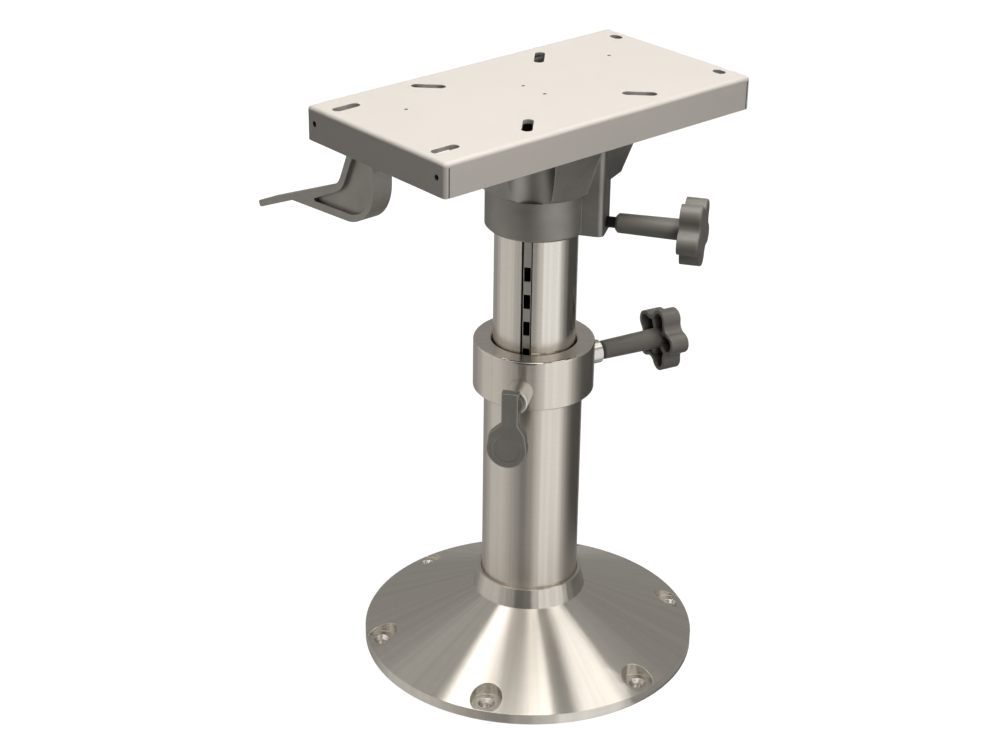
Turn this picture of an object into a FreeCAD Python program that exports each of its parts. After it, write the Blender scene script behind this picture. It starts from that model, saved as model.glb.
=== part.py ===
import FreeCAD, Part
import math
import os
import Sketcher

os.makedirs("parts", exist_ok=True)

# Boat seat pedestal: a round cone base, a fixed column, a telescoping post,
# a swivel head and a fore and aft seat slide with its lever.
# Frame: origin on the column axis at the deck, +Z up, +X along the slide.
# An azimuth is measured about +Z from -Y towards +X, in degrees.

# Driving dimensions in millimetres and degrees, one cell of the sheet each.
sizes = {
    # Base flange
    "flange_radius": 127.0,  # outer radius of the base
    "rim_height": 8.0,  # height of the vertical rim
    "neck_foot_wall": 6.3,  # metal outside the column where the cone meets the neck
    "neck_foot_height": 46.0,  # height where the cone meets the neck
    "neck_top_wall": 3.2,  # metal outside the column at the neck's top
    "neck_top_height": 61.0,  # height of the neck
    "neck_chamfer": 0.9,  # chamfer inside the neck mouth
    "flange_wall": 6.6,  # wall of the cone, measured upright
    "hub_wall": 10.5,  # hub under the cone, outside the column
    "hub_gap": 3.0,  # height of the hub foot over the deck
    "foot_width": 24.0,  # width of the flat ring that rests on the deck
    "ledge_height": 8.0,  # height of the ledge that the column stands on
    "ledge_width": 3.0,  # width of that ledge
    "deck_hole_count": 6,  # number of deck holes
    "deck_hole_edge": 10.5,  # deck hole centres from the flange's edge
    "deck_hole_azimuth": 3.0,  # azimuth of the first deck hole
    "deck_hole_radius": 3.6,  # radius of a deck hole
    "countersink_radius": 6.2,  # radius of the countersink
    "countersink_depth": 2.6,  # depth of the countersink
    "pocket_radius": 11.8,  # radius of the pocket over a deck hole
    "pocket_floor": 8.2,  # height of the pocket floor
    # Fixed column
    "column_radius": 36.5,  # outer radius of the fixed column
    "column_wall": 3.0,  # wall of the fixed column
    "press_gap": 0.05,  # radial gap of pieces pressed together
    "running_gap": 0.1,  # radial gap of pieces that slide or turn
    "collar_wall": 8.3,  # collar outside the column
    "collar_drop": 15.3,  # collar's lower face below the fittings
    "collar_height": 38.7,  # height of the collar
    "collar_lip": 9.0,  # height of the lip over the column end
    "lip_gap": 1.0,  # radial gap between lip and post
    "collar_edge": 1.8,  # rounding of the collar's upper edge
    "collar_chamfer": 1.0,  # chamfer of the lip bore and lower edge
    "sleeve_length": 120.0,  # length of the guide sleeve
    "sleeve_wall": 2.95,  # wall of the guide sleeve
    # Fittings on the collar
    "fitting_height": 231.3,  # height of the lever boss and clamp boss
    "lever_azimuth": -54.0,  # azimuth of the height lever and post groove
    "lever_boss_radius": 9.3,  # radius of the lever boss
    "lever_boss_length": 18.7,  # lever boss outside the collar
    "boss_root_gap": 1.9,  # gap between the column and the boss roots
    "boss_chamfer": 0.8,  # chamfer of the boss faces
    "clamp_azimuth": 77.0,  # azimuth of the height clamp
    "clamp_boss_radius": 8.8,  # radius of the clamp boss
    "clamp_boss_length": 11.2,  # clamp boss outside the collar
    "stud_radius": 4.0,  # radius of the clamp studs
    "stud_end_gap": 0.3,  # gap between a stud tip and the post
    "clamp_knob_gap": 1.6,  # gap between the clamp boss and its knob's shank
    # Height lever
    "pin_radius": 2.4,  # radius of the lock pin
    "pin_hole_gap": 0.6,  # extra radius of the holes round the pin
    "spigot_radius": 5.5,  # radius of the lever spigot
    "spigot_length": 12.0,  # length of the lever spigot in the boss
    "lever_gap": 0.3,  # gap between the boss face and the lever
    "lever_disc_radius": 6.6,  # radius of the lever's round hub
    "lever_hub_depth": 2.6,  # depth of the lever's round hub
    "lever_arm_depth": 6.4,  # depth of the lever arm
    "lever_arm_left": 8.4,  # arm's left edge, from the pivot
    "lever_arm_right": 3.9,  # arm's right edge, right of the pivot
    "lever_arm_top": 9.6,  # arm's top edge, above the pivot
    "paddle_radius": 14.8,  # radius of the paddle
    "paddle_drop": 35.3,  # paddle centre below the pivot
    "paddle_shift": 4.1,  # paddle centre left of the pivot
    "neck_drop": 15.4,  # drop where the arm starts to flare
    "neck_round": 2.0,  # rounding where the arm starts to flare
    "shoulder_drop": 23.8,  # drop of the paddle's shoulders
    "shoulder_half": 13.4,  # half width at the paddle's shoulders
    "shoulder_round": 4.0,  # rounding of the shoulders
    "paddle_recess_radius": 10.4,  # radius of the paddle's shallow recess
    "paddle_recess_depth": 0.7,  # depth of the paddle's shallow recess
    "lever_edge": 1.0,  # rounding of the paddle's outer face
    # Telescoping post
    "post_wall": 3.2,  # wall of the post
    "post_bottom": 100.0,  # height of the post's lower end
    "post_top": 412.0,  # height of the post's upper end
    "groove_width": 8.0,  # width of the post groove
    "groove_depth": 2.0,  # depth of the post groove
    "window_width": 5.0,  # width of a lock window
    "window_height": 11.0,  # height of a lock window
    "window_pitch": 21.2,  # pitch of the lock windows
    "window_count": 9,  # number of lock windows
    "windows_above": 4,  # windows above the lock pin
    "travel_down": 84.0,  # height travel, down
    "travel_up": 40.0,  # height travel, up
    # Swivel head
    "barrel_wall": 3.95,  # wall of the head barrel round the bushing
    "barrel_depth": 68.0,  # barrel's lower face below the post's end
    "barrel_chamfer": 1.6,  # chamfer of the barrel's lower edge
    "barrel_height": 30.0,  # height of the round barrel
    "square_margin": 1.1,  # square part outside the barrel at its foot
    "square_flare": 0.258,  # outward slope of the square part's sides
    "head_cover": 12.5,  # head's top face above the post's end
    "underside_margin": 0.7,  # start of the head's underside outside the barrel
    "underside_rise": 0.58,  # rise of the head's underside per radius
    "flute_radius": 18.0,  # radius of the wrench flute
    "flute_offset": 15.0,  # flute centre outside the barrel
    "flute_azimuth": -49.0,  # azimuth of the front flute
    "flute_sink": 0.4,  # flute's floor below the barrel's end
    "head_flange": 7.5,  # thickness of the head's top flange
    "bushing_wall": 3.0,  # wall of the swivel bushing
    "bushing_inset": 2.0,  # bushing ends inside the barrel by this
    "washer_height": 2.5,  # height of the thrust washer
    "washer_bore": 20.0,  # bore radius of the thrust washer
    "washer_gap": 0.3,  # gap over the thrust washer
    "swivel_azimuth": 34.0,  # azimuth of the swivel clamp
    "swivel_rise": 7.6,  # swivel clamp above the barrel's lower face
    "nose_half_width": 12.6,  # half width of the clamp nose
    "nose_length": 13.7,  # nose outside the barrel
    "nose_radius": 4.5,  # rounding of the nose's upright edges
    "swivel_knob_offset": 20.6,  # start of the knob shank, outside the barrel
    # Star knobs
    "swivel_knob_turn": 12.0,  # turn of the swivel clamp knob
    "clamp_knob_turn": -4.0,  # turn of the height clamp knob
    "shank_length": 49.5,  # length of a knob shank
    "shank_tip_radius": 7.1,  # radius of the shank at its tip
    "shank_root_radius": 7.8,  # radius of the shank at the star
    "shank_chamfer": 1.8,  # chamfer of the shank tip
    "star_height": 15.5,  # thickness of the star
    "star_overlap": 2.0,  # the star starts this far before the shank ends
    "lobe_count": 5,  # number of star lobes
    "lobe_radius": 8.0,  # radius of a lobe
    "lobe_distance": 16.8,  # distance of the lobe centres from the knob axis
    "valley_radius": 6.0,  # radius of the hollow between lobes
    "star_wall": 2.6,  # wall of the cored star
    "star_face": 4.0,  # thickness of the star's outer face
    "star_edge": 1.6,  # rounding of the star's outer edge
    "rib_width": 4.0,  # width of the ribs in the star
    "rib_inset": 1.5,  # ribs start inside the star's rear rim by this
    "stud_in_knob": 14.0,  # length of the stud inside the knob
    # Seat slide
    "slide_half_length": 56.0,  # half length of the slide base
    "slide_thickness": 4.0,  # thickness of the slide base
    "screw_offset": 37.0,  # head screws from the axis, along X and along Y
    "screw_radius": 4.0,  # radius of the head screws
    "screw_head_radius": 7.5,  # radius of the countersunk heads
    "screw_length": 17.0,  # length of the head screws
    "strip_wall": 1.0,  # wall of the glide strips
    "strip_width": 9.0,  # width of the glide strips
    "strip_gap": 0.3,  # gap over and under a glide strip
    "strip_side_gap": 0.5,  # gap beside a glide strip
    "rail_web": 3.0,  # thickness of the rail web
    "rail_flange": 1.9,  # thickness of the rail flanges
    "rail_flange_width": 14.9,  # width of the rail flanges
    "rail_top_width": 10.4,  # width of the rail's top flange
    "rack_offset": 16.0,  # inner face of the rack from the lever shaft
    "rack_width": 9.0,  # width of the rack over its teeth
    "rack_height": 4.5,  # height of the rack
    "rack_spine": 4.0,  # width of the rack spine
    "tooth_pitch": 12.0,  # pitch of the rack teeth
    "tooth_gap": 6.4,  # width of a gap between teeth
    "tooth_gap_count": 9,  # number of gaps in the rack
    # Top plate
    "plate_length": 282.0,  # length of the seat plate
    "plate_width": 147.0,  # width of the seat plate
    "plate_drop": 24.4,  # height of the plate over its folded sides
    "plate_lift": 16.8,  # seat face above the slide base
    "plate_centre": -5.4,  # seat plate's middle along X, from the axis
    "sheet_thickness": 3.0,  # thickness of the plate's sheet
    "fold_radius": 3.0,  # outer radius of the folds
    "seam_width": 0.8,  # width of the corner seams
    "seat_slot_edge": 21.6,  # seat slot centres from the plate's long edges
    "seat_slot_length": 24.4,  # length of a seat slot
    "seat_slot_width": 7.4,  # width of a seat slot
    "left_slot_inset": 17.6,  # left slots from the plate's left end
    "left_slot_edge": 21.2,  # left slots from the plate's long edges
    "left_slot_length": 22.0,  # length of a left slot
    "left_slot_width": 7.4,  # width of a left slot
    "right_slot_inset": 11.2,  # right slots from the plate's right end
    "right_slot_edge": 20.6,  # right slots from the plate's long edges
    "right_slot_length": 10.5,  # length of a right slot
    "right_slot_width": 7.0,  # width of a right slot
    "end_hole_radius": 2.0,  # radius of the holes in the left fold
    "end_hole_edge": 8.5,  # end holes from the plate's long edges
    "end_hole_drop": 11.6,  # end holes below the seat face
    "pin_mark_radius": 1.3,  # radius of the small marks on the seat face
    "pin_mark_depth": 0.6,  # depth of those marks
    "centre_mark_y": 11.2,  # middle marks from the centre line
    "side_mark_x": 94.5,  # side marks from the plate's middle
    "side_mark_y": 23.7,  # side marks from the centre line
    # Slide lever and its shaft
    "shaft_radius": 4.0,  # radius of the lever shaft
    "shaft_inset": 30.5,  # lever shaft from the inside of the plate's fold
    "shaft_lift": 0.6,  # lever shaft above the middle of its brackets
    "shaft_left_end": 1.5,  # shaft beyond the left bracket
    "shaft_right_end": 2.5,  # shaft beyond the right bracket
    "shaft_gap": 0.05,  # radial gap of the shaft in its brackets
    "bracket_width": 6.0,  # width of a shaft bracket
    "bracket_half_depth": 6.0,  # half depth of a shaft bracket
    "bracket_gap": 0.8,  # gap between the brackets and the slide base
    "lever_left_gap": 2.5,  # gap between the left bracket and the slide lever
    "lever_right_gap": 1.5,  # gap between the slide lever and the middle bracket
    "pawl_x": 1.0,  # left face of the pawl
    "pawl_width": 6.0,  # width of the pawl
    "pawl_side_gap": 2.5,  # gap between the pawl and the right bracket
    "pawl_radius": 5.5,  # radius of the pawl's ring
    "pawl_gap": 0.3,  # gap between pawl and rack teeth
    "lever_inset": 20.4,  # slide lever's left face from the plate's left end
    "lever_width": 16.0,  # width of the slide lever
    "lever_clearance": 2.0,  # gap beside the slide lever in the rail's notch
    "lever_hub_radius": 5.5,  # radius of the slide lever's hub
    "lever_web": 10.0,  # thickness of the slide lever's web
    "lever_rim": 5.5,  # width of the slide lever's rim
    "heel_back": 13.0,  # slide lever's heel behind the shaft
    "heel_drop": 74.2,  # heel's lowest line below the shaft
    "heel_radius": 33.0,  # radius of the heel
    "heel_top_drop": 32.4,  # where the heel's back starts, below the shaft
    "blade_root_reach": 82.3,  # where the web meets the blade, beyond the shaft
    "blade_root_drop": 80.4,  # that point below the shaft
    "blade_tip_reach": 123.7,  # tip of the blade beyond the shaft
    "blade_tip_drop": 95.8,  # tip of the blade below the shaft
    "blade_thickness": 4.7,  # thickness of the blade
    "elbow_reach": 27.3,  # inside elbow of the lever beyond the shaft
    "elbow_drop": 52.0,  # inside elbow below the shaft
    "elbow_radius": 18.0,  # radius of the inside elbow
    "stop_length": 5.0,  # length of a slide stop along X
    "stop_depth": 6.0,  # depth of a slide stop
    "stop_inset": 10.5,  # slide stops from the inside of the plate's fold
    "stop_drop": 2.3,  # slide stops below the plate's lower edge
    "right_stop_inset": 19.1,  # left face of the right stop from the plate's right end
    "left_stop_inset": 36.9,  # left face of the left stop from the plate's left end
}

# Sizes that follow from the ones above, so that pieces stay fitted to each other.
deck_hole_circle = "(Sizes.flange_radius - Sizes.deck_hole_edge)"
column_inside = "(Sizes.column_radius - Sizes.column_wall)"
sleeve_outside = "(%s - Sizes.press_gap)" % column_inside
sleeve_inside = "(%s - Sizes.sleeve_wall)" % sleeve_outside
post_radius = "(%s - Sizes.running_gap)" % sleeve_inside
column_bore = "(Sizes.column_radius + Sizes.press_gap)"
neck_foot_radius = "(Sizes.column_radius + Sizes.neck_foot_wall)"
neck_top_radius = "(Sizes.column_radius + Sizes.neck_top_wall)"
hub_radius = "(Sizes.column_radius + Sizes.hub_wall)"
collar_radius = "(Sizes.column_radius + Sizes.collar_wall)"
collar_bottom = "(Sizes.fitting_height - Sizes.collar_drop)"
collar_top = "(%s + Sizes.collar_height)" % collar_bottom
column_end = "(%s - Sizes.collar_lip)" % collar_top
boss_root = "(Sizes.column_radius + Sizes.boss_root_gap)"
lever_boss_reach = "(%s + Sizes.lever_boss_length)" % collar_radius
clamp_boss_reach = "(%s + Sizes.clamp_boss_length)" % collar_radius
clamp_knob_start = "(%s + Sizes.clamp_knob_gap)" % clamp_boss_reach
bushing_outside = "(%s + Sizes.bushing_wall)" % sleeve_inside
head_bore = "(%s + Sizes.press_gap)" % bushing_outside
barrel_radius = "(%s + Sizes.barrel_wall)" % head_bore
square_half = "(%s + Sizes.square_margin)" % barrel_radius
underside_radius = "(%s + Sizes.underside_margin)" % barrel_radius
flute_distance = "(%s + Sizes.flute_offset)" % barrel_radius
nose_front = "(%s + Sizes.nose_length)" % barrel_radius
barrel_bottom = "(Sizes.post_top - Sizes.barrel_depth)"
barrel_top = "(%s + Sizes.barrel_height)" % barrel_bottom
head_top = "(Sizes.post_top + Sizes.head_cover)"
washer_top = "(Sizes.post_top + Sizes.washer_height)"
flute_floor = "(%s - Sizes.flute_sink)" % barrel_top
swivel_level = "(%s + Sizes.swivel_rise)" % barrel_bottom
swivel_knob_start = "(%s + Sizes.swivel_knob_offset)" % barrel_radius
lobe_reach = "(Sizes.lobe_distance * cos(180 / Sizes.lobe_count))"
lobe_side = "(Sizes.lobe_distance * sin(180 / Sizes.lobe_count))"
valley_distance = "(%s + sqrt((Sizes.lobe_radius + Sizes.valley_radius)^2 - %s^2))" % (lobe_reach, lobe_side)
slide_top = "(%s + Sizes.slide_thickness)" % head_top
plate_top = "(%s + Sizes.plate_lift)" % slide_top
plate_low = "(%s - Sizes.plate_drop)" % plate_top
ceiling = "(%s - Sizes.sheet_thickness)" % plate_top
plate_left = "(Sizes.plate_centre - Sizes.plate_length / 2)"
plate_right = "(Sizes.plate_centre + Sizes.plate_length / 2)"
inner_half = "(Sizes.plate_width / 2 - Sizes.sheet_thickness)"
seat_slot_place = "(Sizes.plate_width / 2 - Sizes.seat_slot_edge)"
left_slot_x = "(%s + Sizes.left_slot_inset)" % plate_left
left_slot_y = "(Sizes.plate_width / 2 - Sizes.left_slot_edge)"
right_slot_x = "(%s - Sizes.right_slot_inset)" % plate_right
right_slot_y = "(Sizes.plate_width / 2 - Sizes.right_slot_edge)"
end_hole_y = "(Sizes.plate_width / 2 - Sizes.end_hole_edge)"
slide_half_width = "(%s - Sizes.rail_web - Sizes.strip_side_gap - Sizes.strip_wall)" % inner_half
shaft_y = "(%s - Sizes.shaft_inset)" % inner_half
rack_y = "(%s - Sizes.rack_offset)" % shaft_y
bracket_low = "(%s + Sizes.bracket_gap)" % slide_top
shaft_height = "((%s + %s) / 2 + Sizes.shaft_lift)" % (bracket_low, ceiling)
lever_left = "(%s + Sizes.lever_inset)" % plate_left
left_bracket_x = "(%s - Sizes.lever_left_gap - Sizes.bracket_width)" % lever_left
middle_bracket_x = "(%s + Sizes.lever_width + Sizes.lever_right_gap)" % lever_left
right_bracket_x = "(Sizes.pawl_x + Sizes.pawl_width + Sizes.pawl_side_gap)"
shaft_left = "(%s - Sizes.shaft_left_end)" % left_bracket_x
shaft_right = "(%s + Sizes.bracket_width + Sizes.shaft_right_end)" % right_bracket_x
heel_y = "(%s - Sizes.heel_back)" % shaft_y
heel_height = "(%s - Sizes.heel_drop)" % shaft_height
heel_top = "(%s - Sizes.heel_top_drop)" % shaft_height
blade_root_y = "(%s + Sizes.blade_root_reach)" % shaft_y
blade_root_height = "(%s - Sizes.blade_root_drop)" % shaft_height
blade_tip_y = "(%s + Sizes.blade_tip_reach)" % shaft_y
blade_tip_height = "(%s - Sizes.blade_tip_drop)" % shaft_height
elbow_y = "(%s + Sizes.elbow_reach)" % shaft_y
elbow_height = "(%s - Sizes.elbow_drop)" % shaft_height
stop_y = "(%s - Sizes.stop_inset)" % inner_half
right_stop_x = "(%s - Sizes.right_stop_inset)" % plate_right
left_stop_x = "(%s + Sizes.left_stop_inset)" % plate_left

doc = FreeCAD.newDocument("boat_seat_pedestal")
sheet = doc.addObject("Spreadsheet::Sheet", "Sizes")
for row, (name, number) in enumerate(sizes.items(), 1):
    sheet.set("A%d" % row, name)
    sheet.set("B%d" % row, repr(number))
    sheet.setAlias("B%d" % row, name)
doc.recompute()


def value(expression):
    """Return the number that an expression of the sheet gives."""
    return float(sheet.evalExpression(expression))


def bind(item, pairs):
    """Bind properties of an object to expressions."""
    for name, expression in pairs.items():
        item.setExpression(name, expression)
    return item


def upright(x="0", y="0", z="0", yaw="0"):
    """Placement with the local axes turned about +Z only."""
    return "placement(vector(%s; %s; %s); rotation(%s; 0; 0))" % (x, y, z, yaw)


def radial(azimuth, height):
    """Placement whose local Z points outward from the column at a height."""
    return "placement(vector(0; 0; %s); rotation(%s; 0; 90))" % (height, azimuth)


def cylinder(name, radius, height, placement, offset=None):
    """Round bar along the local Z of a placement, moved along it by an offset."""
    item = doc.addObject("Part::Cylinder", name)
    if offset is not None:
        placement = "%s * placement(vector(0; 0; %s); rotation(0; 0; 0))" % (placement, offset)
    return bind(item, {"Radius": radius, "Height": height, "Placement": placement})


def cone(name, low_radius, high_radius, height, placement, offset=None):
    """Cone along the local Z of a placement."""
    item = doc.addObject("Part::Cone", name)
    if offset is not None:
        placement = "%s * placement(vector(0; 0; %s); rotation(0; 0; 0))" % (placement, offset)
    pairs = {"Radius1": low_radius, "Radius2": high_radius, "Height": height, "Placement": placement}
    return bind(item, pairs)


def box(name, x, y, z, placement):
    """Block with its lowest corner at a placement."""
    item = doc.addObject("Part::Box", name)
    return bind(item, {"Length": x, "Width": y, "Height": z, "Placement": placement})


def fuse(name, items):
    item = doc.addObject("Part::MultiFuse", name)
    item.Shapes = items
    return item


def cut(name, base, tools):
    """Take one or more tools away from a base."""
    item = doc.addObject("Part::Cut", name)
    item.Base = base
    item.Tool = tools[0] if len(tools) == 1 else fuse(name + "_tools", tools)
    return item


def common(name, first, second):
    item = doc.addObject("Part::Common", name)
    item.Base = first
    item.Tool = second
    return item


def body(name):
    return doc.addObject("PartDesign::Body", name)


def sketch(owner, name, role, offset=None):
    """Sketch on one of the body's origin planes, moved by a placement expression."""
    item = owner.newObject("Sketcher::SketchObject", name)
    plane = [f for f in owner.Origin.OriginFeatures if f.Role == role][0]
    item.AttachmentSupport = [(plane, "")]
    item.MapMode = "FlatFace"
    if offset is not None:
        item.setExpression("AttachmentOffset", offset)
    return item


def pin_point(item, geometry, end, x, y):
    """Fix one point of a sketch from the sketch's origin."""
    for kind, axis, expression in (("DistanceX", -2, x), ("DistanceY", -1, y)):
        if expression == "0":
            item.addConstraint(Sketcher.Constraint("PointOnObject", geometry, end, axis))
            continue
        rule = Sketcher.Constraint(kind, -1, 1, geometry, end, value(expression))
        index = item.addConstraint(rule)
        item.setExpression("Constraints[%d]" % index, expression)


def outline(item, corners):
    """Closed outline through corners given as expressions, rounded where a radius follows."""
    places = [FreeCAD.Vector(value(corner[0]), value(corner[1]), 0) for corner in corners]
    count = len(corners)
    starts = list(places)
    ends = list(places)
    for index, corner in enumerate(corners):
        if len(corner) < 3:
            continue
        before = (places[index - 1] - places[index]).normalize()
        after = (places[(index + 1) % count] - places[index]).normalize()
        reach = value(corner[2]) / math.tan(before.getAngle(after) / 2)
        ends[index] = places[index] + before * reach
        starts[index] = places[index] + after * reach
    for index in range(count):
        item.addGeometry(Part.LineSegment(starts[index], ends[(index + 1) % count]))
    for index, corner in enumerate(corners):
        earlier = (index - 1) % count
        if len(corner) < 3:
            item.addConstraint(Sketcher.Constraint("Coincident", earlier, 2, index, 1))
            pin_point(item, index, 1, corner[0], corner[1])
            continue
        round_corner(item, corner, places[index], earlier, index, ends[index], starts[index])


def round_corner(item, corner, place, earlier, later, start, end):
    """Arc tangent to two lines of an outline that meet at a fixed point."""
    radius = value(corner[2])
    inward = ((start + end) / 2 - place).normalize()
    centre = place + inward * math.hypot(radius, (start - place).Length)
    arrives = math.atan2(start.y - centre.y, start.x - centre.x)
    leaves = math.atan2(end.y - centre.y, end.x - centre.x)
    forward = (leaves - arrives) % (2 * math.pi) < math.pi
    circle = Part.Circle(centre, FreeCAD.Vector(0, 0, 1), radius)
    low, high = (arrives, leaves) if forward else (leaves, arrives)
    arc = item.addGeometry(Part.ArcOfCircle(circle, low, high))
    point = item.addGeometry(Part.Point(place), True)
    pin_point(item, point, 1, corner[0], corner[1])
    item.addConstraint(Sketcher.Constraint("PointOnObject", point, 1, earlier))
    item.addConstraint(Sketcher.Constraint("PointOnObject", point, 1, later))
    first, last = (1, 2) if forward else (2, 1)
    item.addConstraint(Sketcher.Constraint("Tangent", earlier, 2, arc, first))
    item.addConstraint(Sketcher.Constraint("Tangent", later, 1, arc, last))
    rule = item.addConstraint(Sketcher.Constraint("Radius", arc, radius))
    item.setExpression("Constraints[%d]" % rule, corner[2])


def ring(item, x, y, radius):
    """Circle in a sketch."""
    centre = FreeCAD.Vector(value(x), value(y), 0)
    index = item.addGeometry(Part.Circle(centre, FreeCAD.Vector(0, 0, 1), value(radius)))
    pin_point(item, index, 3, x, y)
    rule = item.addConstraint(Sketcher.Constraint("Radius", index, value(radius)))
    item.setExpression("Constraints[%d]" % rule, radius)


def turn(owner, name, shape, kind="Revolution", axis="V_Axis"):
    """Revolve a sketch once round one of its axes."""
    item = owner.newObject("PartDesign::" + kind, name)
    item.Profile = shape
    item.ReferenceAxis = (shape, [axis])
    item.Angle = 360
    return item


def pad(owner, name, shape, length, midplane=False):
    item = owner.newObject("PartDesign::Pad", name)
    item.Profile = shape
    item.setExpression("Length", length)
    item.Midplane = midplane
    return item


def pocket(owner, name, shape, length, towards=False, midplane=False):
    """Cut a sketch against its normal, or along it where towards is set."""
    item = owner.newObject("PartDesign::Pocket", name)
    item.Profile = shape
    item.setExpression("Length", length)
    item.Reversed = towards
    item.Midplane = midplane
    return item


def round_off(owner, name, source, radius, chosen, kind="Fillet"):
    """Round or chamfer the edges of a feature that a test picks."""
    doc.recompute()
    names = []
    for index, edge in enumerate(source.Shape.Edges):
        if chosen(edge):
            names.append("Edge%d" % (index + 1))
    item = owner.newObject("PartDesign::" + kind, name)
    item.Base = (source, names)
    item.setExpression("Radius" if kind == "Fillet" else "Size", radius)
    return item


def near(a, b, tolerance=0.01):
    return abs(a - b) < tolerance


nodes = []


def node(item, label):
    """Name a finished piece and keep it for the export."""
    item.Label = label
    nodes.append(item)
    return item


def tube(name, inner, outer, low, high):
    """Plain ring or tube on the column axis."""
    owner = body(name)
    shape = sketch(owner, name + "_section", "XZ_Plane")
    outline(shape, [(inner, low), (outer, low), (outer, high), (inner, high)])
    turn(owner, name + "_turned", shape)
    return owner


# Base flange.
slope = "((Sizes.neck_foot_height - Sizes.rim_height) / (Sizes.flange_radius - " + neck_foot_radius + "))"


def cone_height(radius, below="0"):
    """Height of the cone's outside at a radius."""
    rise = "Sizes.rim_height + (Sizes.flange_radius - (%s)) * %s" % (radius, slope)
    return "%s - %s" % (rise, below)


def base_flange():
    owner = body("BaseFlange")
    section = sketch(owner, "FlangeSection", "XZ_Plane")
    foot = "Sizes.flange_radius - Sizes.foot_width"
    ledge = "Sizes.column_radius - Sizes.ledge_width"
    outline(section, [
        (foot, "0"),
        ("Sizes.flange_radius", "0"),
        ("Sizes.flange_radius", "Sizes.rim_height"),
        (neck_foot_radius, "Sizes.neck_foot_height"),
        (neck_top_radius, "Sizes.neck_top_height"),
        (column_bore + " + Sizes.neck_chamfer", "Sizes.neck_top_height"),
        (column_bore, "Sizes.neck_top_height - Sizes.neck_chamfer"),
        (column_bore, "Sizes.ledge_height"),
        (ledge, "Sizes.ledge_height"),
        (ledge, "Sizes.hub_gap"),
        (hub_radius, "Sizes.hub_gap"),
        (hub_radius, cone_height(hub_radius, "Sizes.flange_wall")),
        (foot, cone_height(foot, "Sizes.flange_wall")),
    ])
    turned = turn(owner, "FlangeTurned", section)
    hole = sketch(owner, "DeckHoleSection", "XZ_Plane")
    centre = deck_hole_circle
    floor = "Sizes.pocket_floor"
    outline(hole, [
        (centre, "-1"),
        (centre + " + Sizes.deck_hole_radius", "-1"),
        (centre + " + Sizes.deck_hole_radius", floor + " - Sizes.countersink_depth"),
        (centre + " + Sizes.countersink_radius", floor),
        (centre + " + Sizes.pocket_radius", floor),
        (centre + " + Sizes.pocket_radius", "Sizes.neck_foot_height"),
        (centre, "Sizes.neck_foot_height"),
    ])
    line = hole.addGeometry(Part.LineSegment(
        FreeCAD.Vector(value(centre), -5, 0), FreeCAD.Vector(value(centre), 5, 0)), True)
    pin_point(hole, line, 1, centre, "-5")
    pin_point(hole, line, 2, centre, "5")
    groove = turn(owner, "DeckHole", hole, "Groove", "Axis0")
    pattern = owner.newObject("PartDesign::PolarPattern", "DeckHoles")
    pattern.Originals = [groove]
    pattern.Axis = (section, ["V_Axis"])
    pattern.Angle = 360
    pattern.setExpression("Occurrences", "Sizes.deck_hole_count")
    owner.Tip = pattern
    owner.setExpression("Placement", upright(yaw="Sizes.deck_hole_azimuth - 90"))
    return node(owner, "base_flange"), turned


base_flange()

# Fixed column.
lever_place = radial("Sizes.lever_azimuth", "Sizes.fitting_height")
clamp_place = radial("Sizes.clamp_azimuth", "Sizes.fitting_height")
swivel_place = radial("Sizes.swivel_azimuth", swivel_level)


def side_holes(name):
    """Cutters for the lock pin and the clamp stud, through one side of a wall."""
    reach = collar_radius
    pin = cylinder(name + "_pin", "Sizes.pin_radius + Sizes.pin_hole_gap", reach, lever_place)
    stud = cylinder(name + "_stud", "Sizes.stud_radius + Sizes.pin_hole_gap", reach, clamp_place)
    return [pin, stud]


column = tube("Column", column_inside, "Sizes.column_radius", "Sizes.ledge_height", column_end)
node(cut("ColumnDrilled", column, side_holes("ColumnHoles")), "column_tube")

sleeve = tube("Sleeve", sleeve_inside, sleeve_outside, column_end + " - Sizes.sleeve_length", column_end)
node(cut("SleeveDrilled", sleeve, side_holes("SleeveHoles")), "guide_sleeve")


def collar():
    owner = body("Collar")
    section = sketch(owner, "CollarSection", "XZ_Plane")
    lip = post_radius + " + Sizes.lip_gap"
    outline(section, [
        (column_bore, collar_bottom),
        (collar_radius + " - Sizes.collar_chamfer", collar_bottom),
        (collar_radius, collar_bottom + " + Sizes.collar_chamfer"),
        (collar_radius, collar_top),
        (lip + " + Sizes.collar_chamfer", collar_top),
        (lip, collar_top + " - Sizes.collar_chamfer"),
        (lip, column_end),
        (column_bore, column_end),
    ])
    turned = turn(owner, "CollarTurned", section)
    top = value(collar_top)
    radius = value(collar_radius)

    def upper_rim(edge):
        box_of = edge.BoundBox
        return near(box_of.ZMin, top) and near(box_of.ZMax, top) and near(box_of.XMax, radius)

    round_off(owner, "CollarRounded", turned, "Sizes.collar_edge", upper_rim)
    lever_hole = cylinder("CollarLeverHole", "Sizes.lever_boss_radius",
                          collar_radius, lever_place, boss_root)
    clamp_hole = cylinder("CollarClampHole", "Sizes.clamp_boss_radius",
                          collar_radius, clamp_place, boss_root)
    tools = side_holes("CollarHoles") + [lever_hole, clamp_hole]
    return node(cut("CollarDrilled", owner, tools), "column_collar")


collar()


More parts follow.
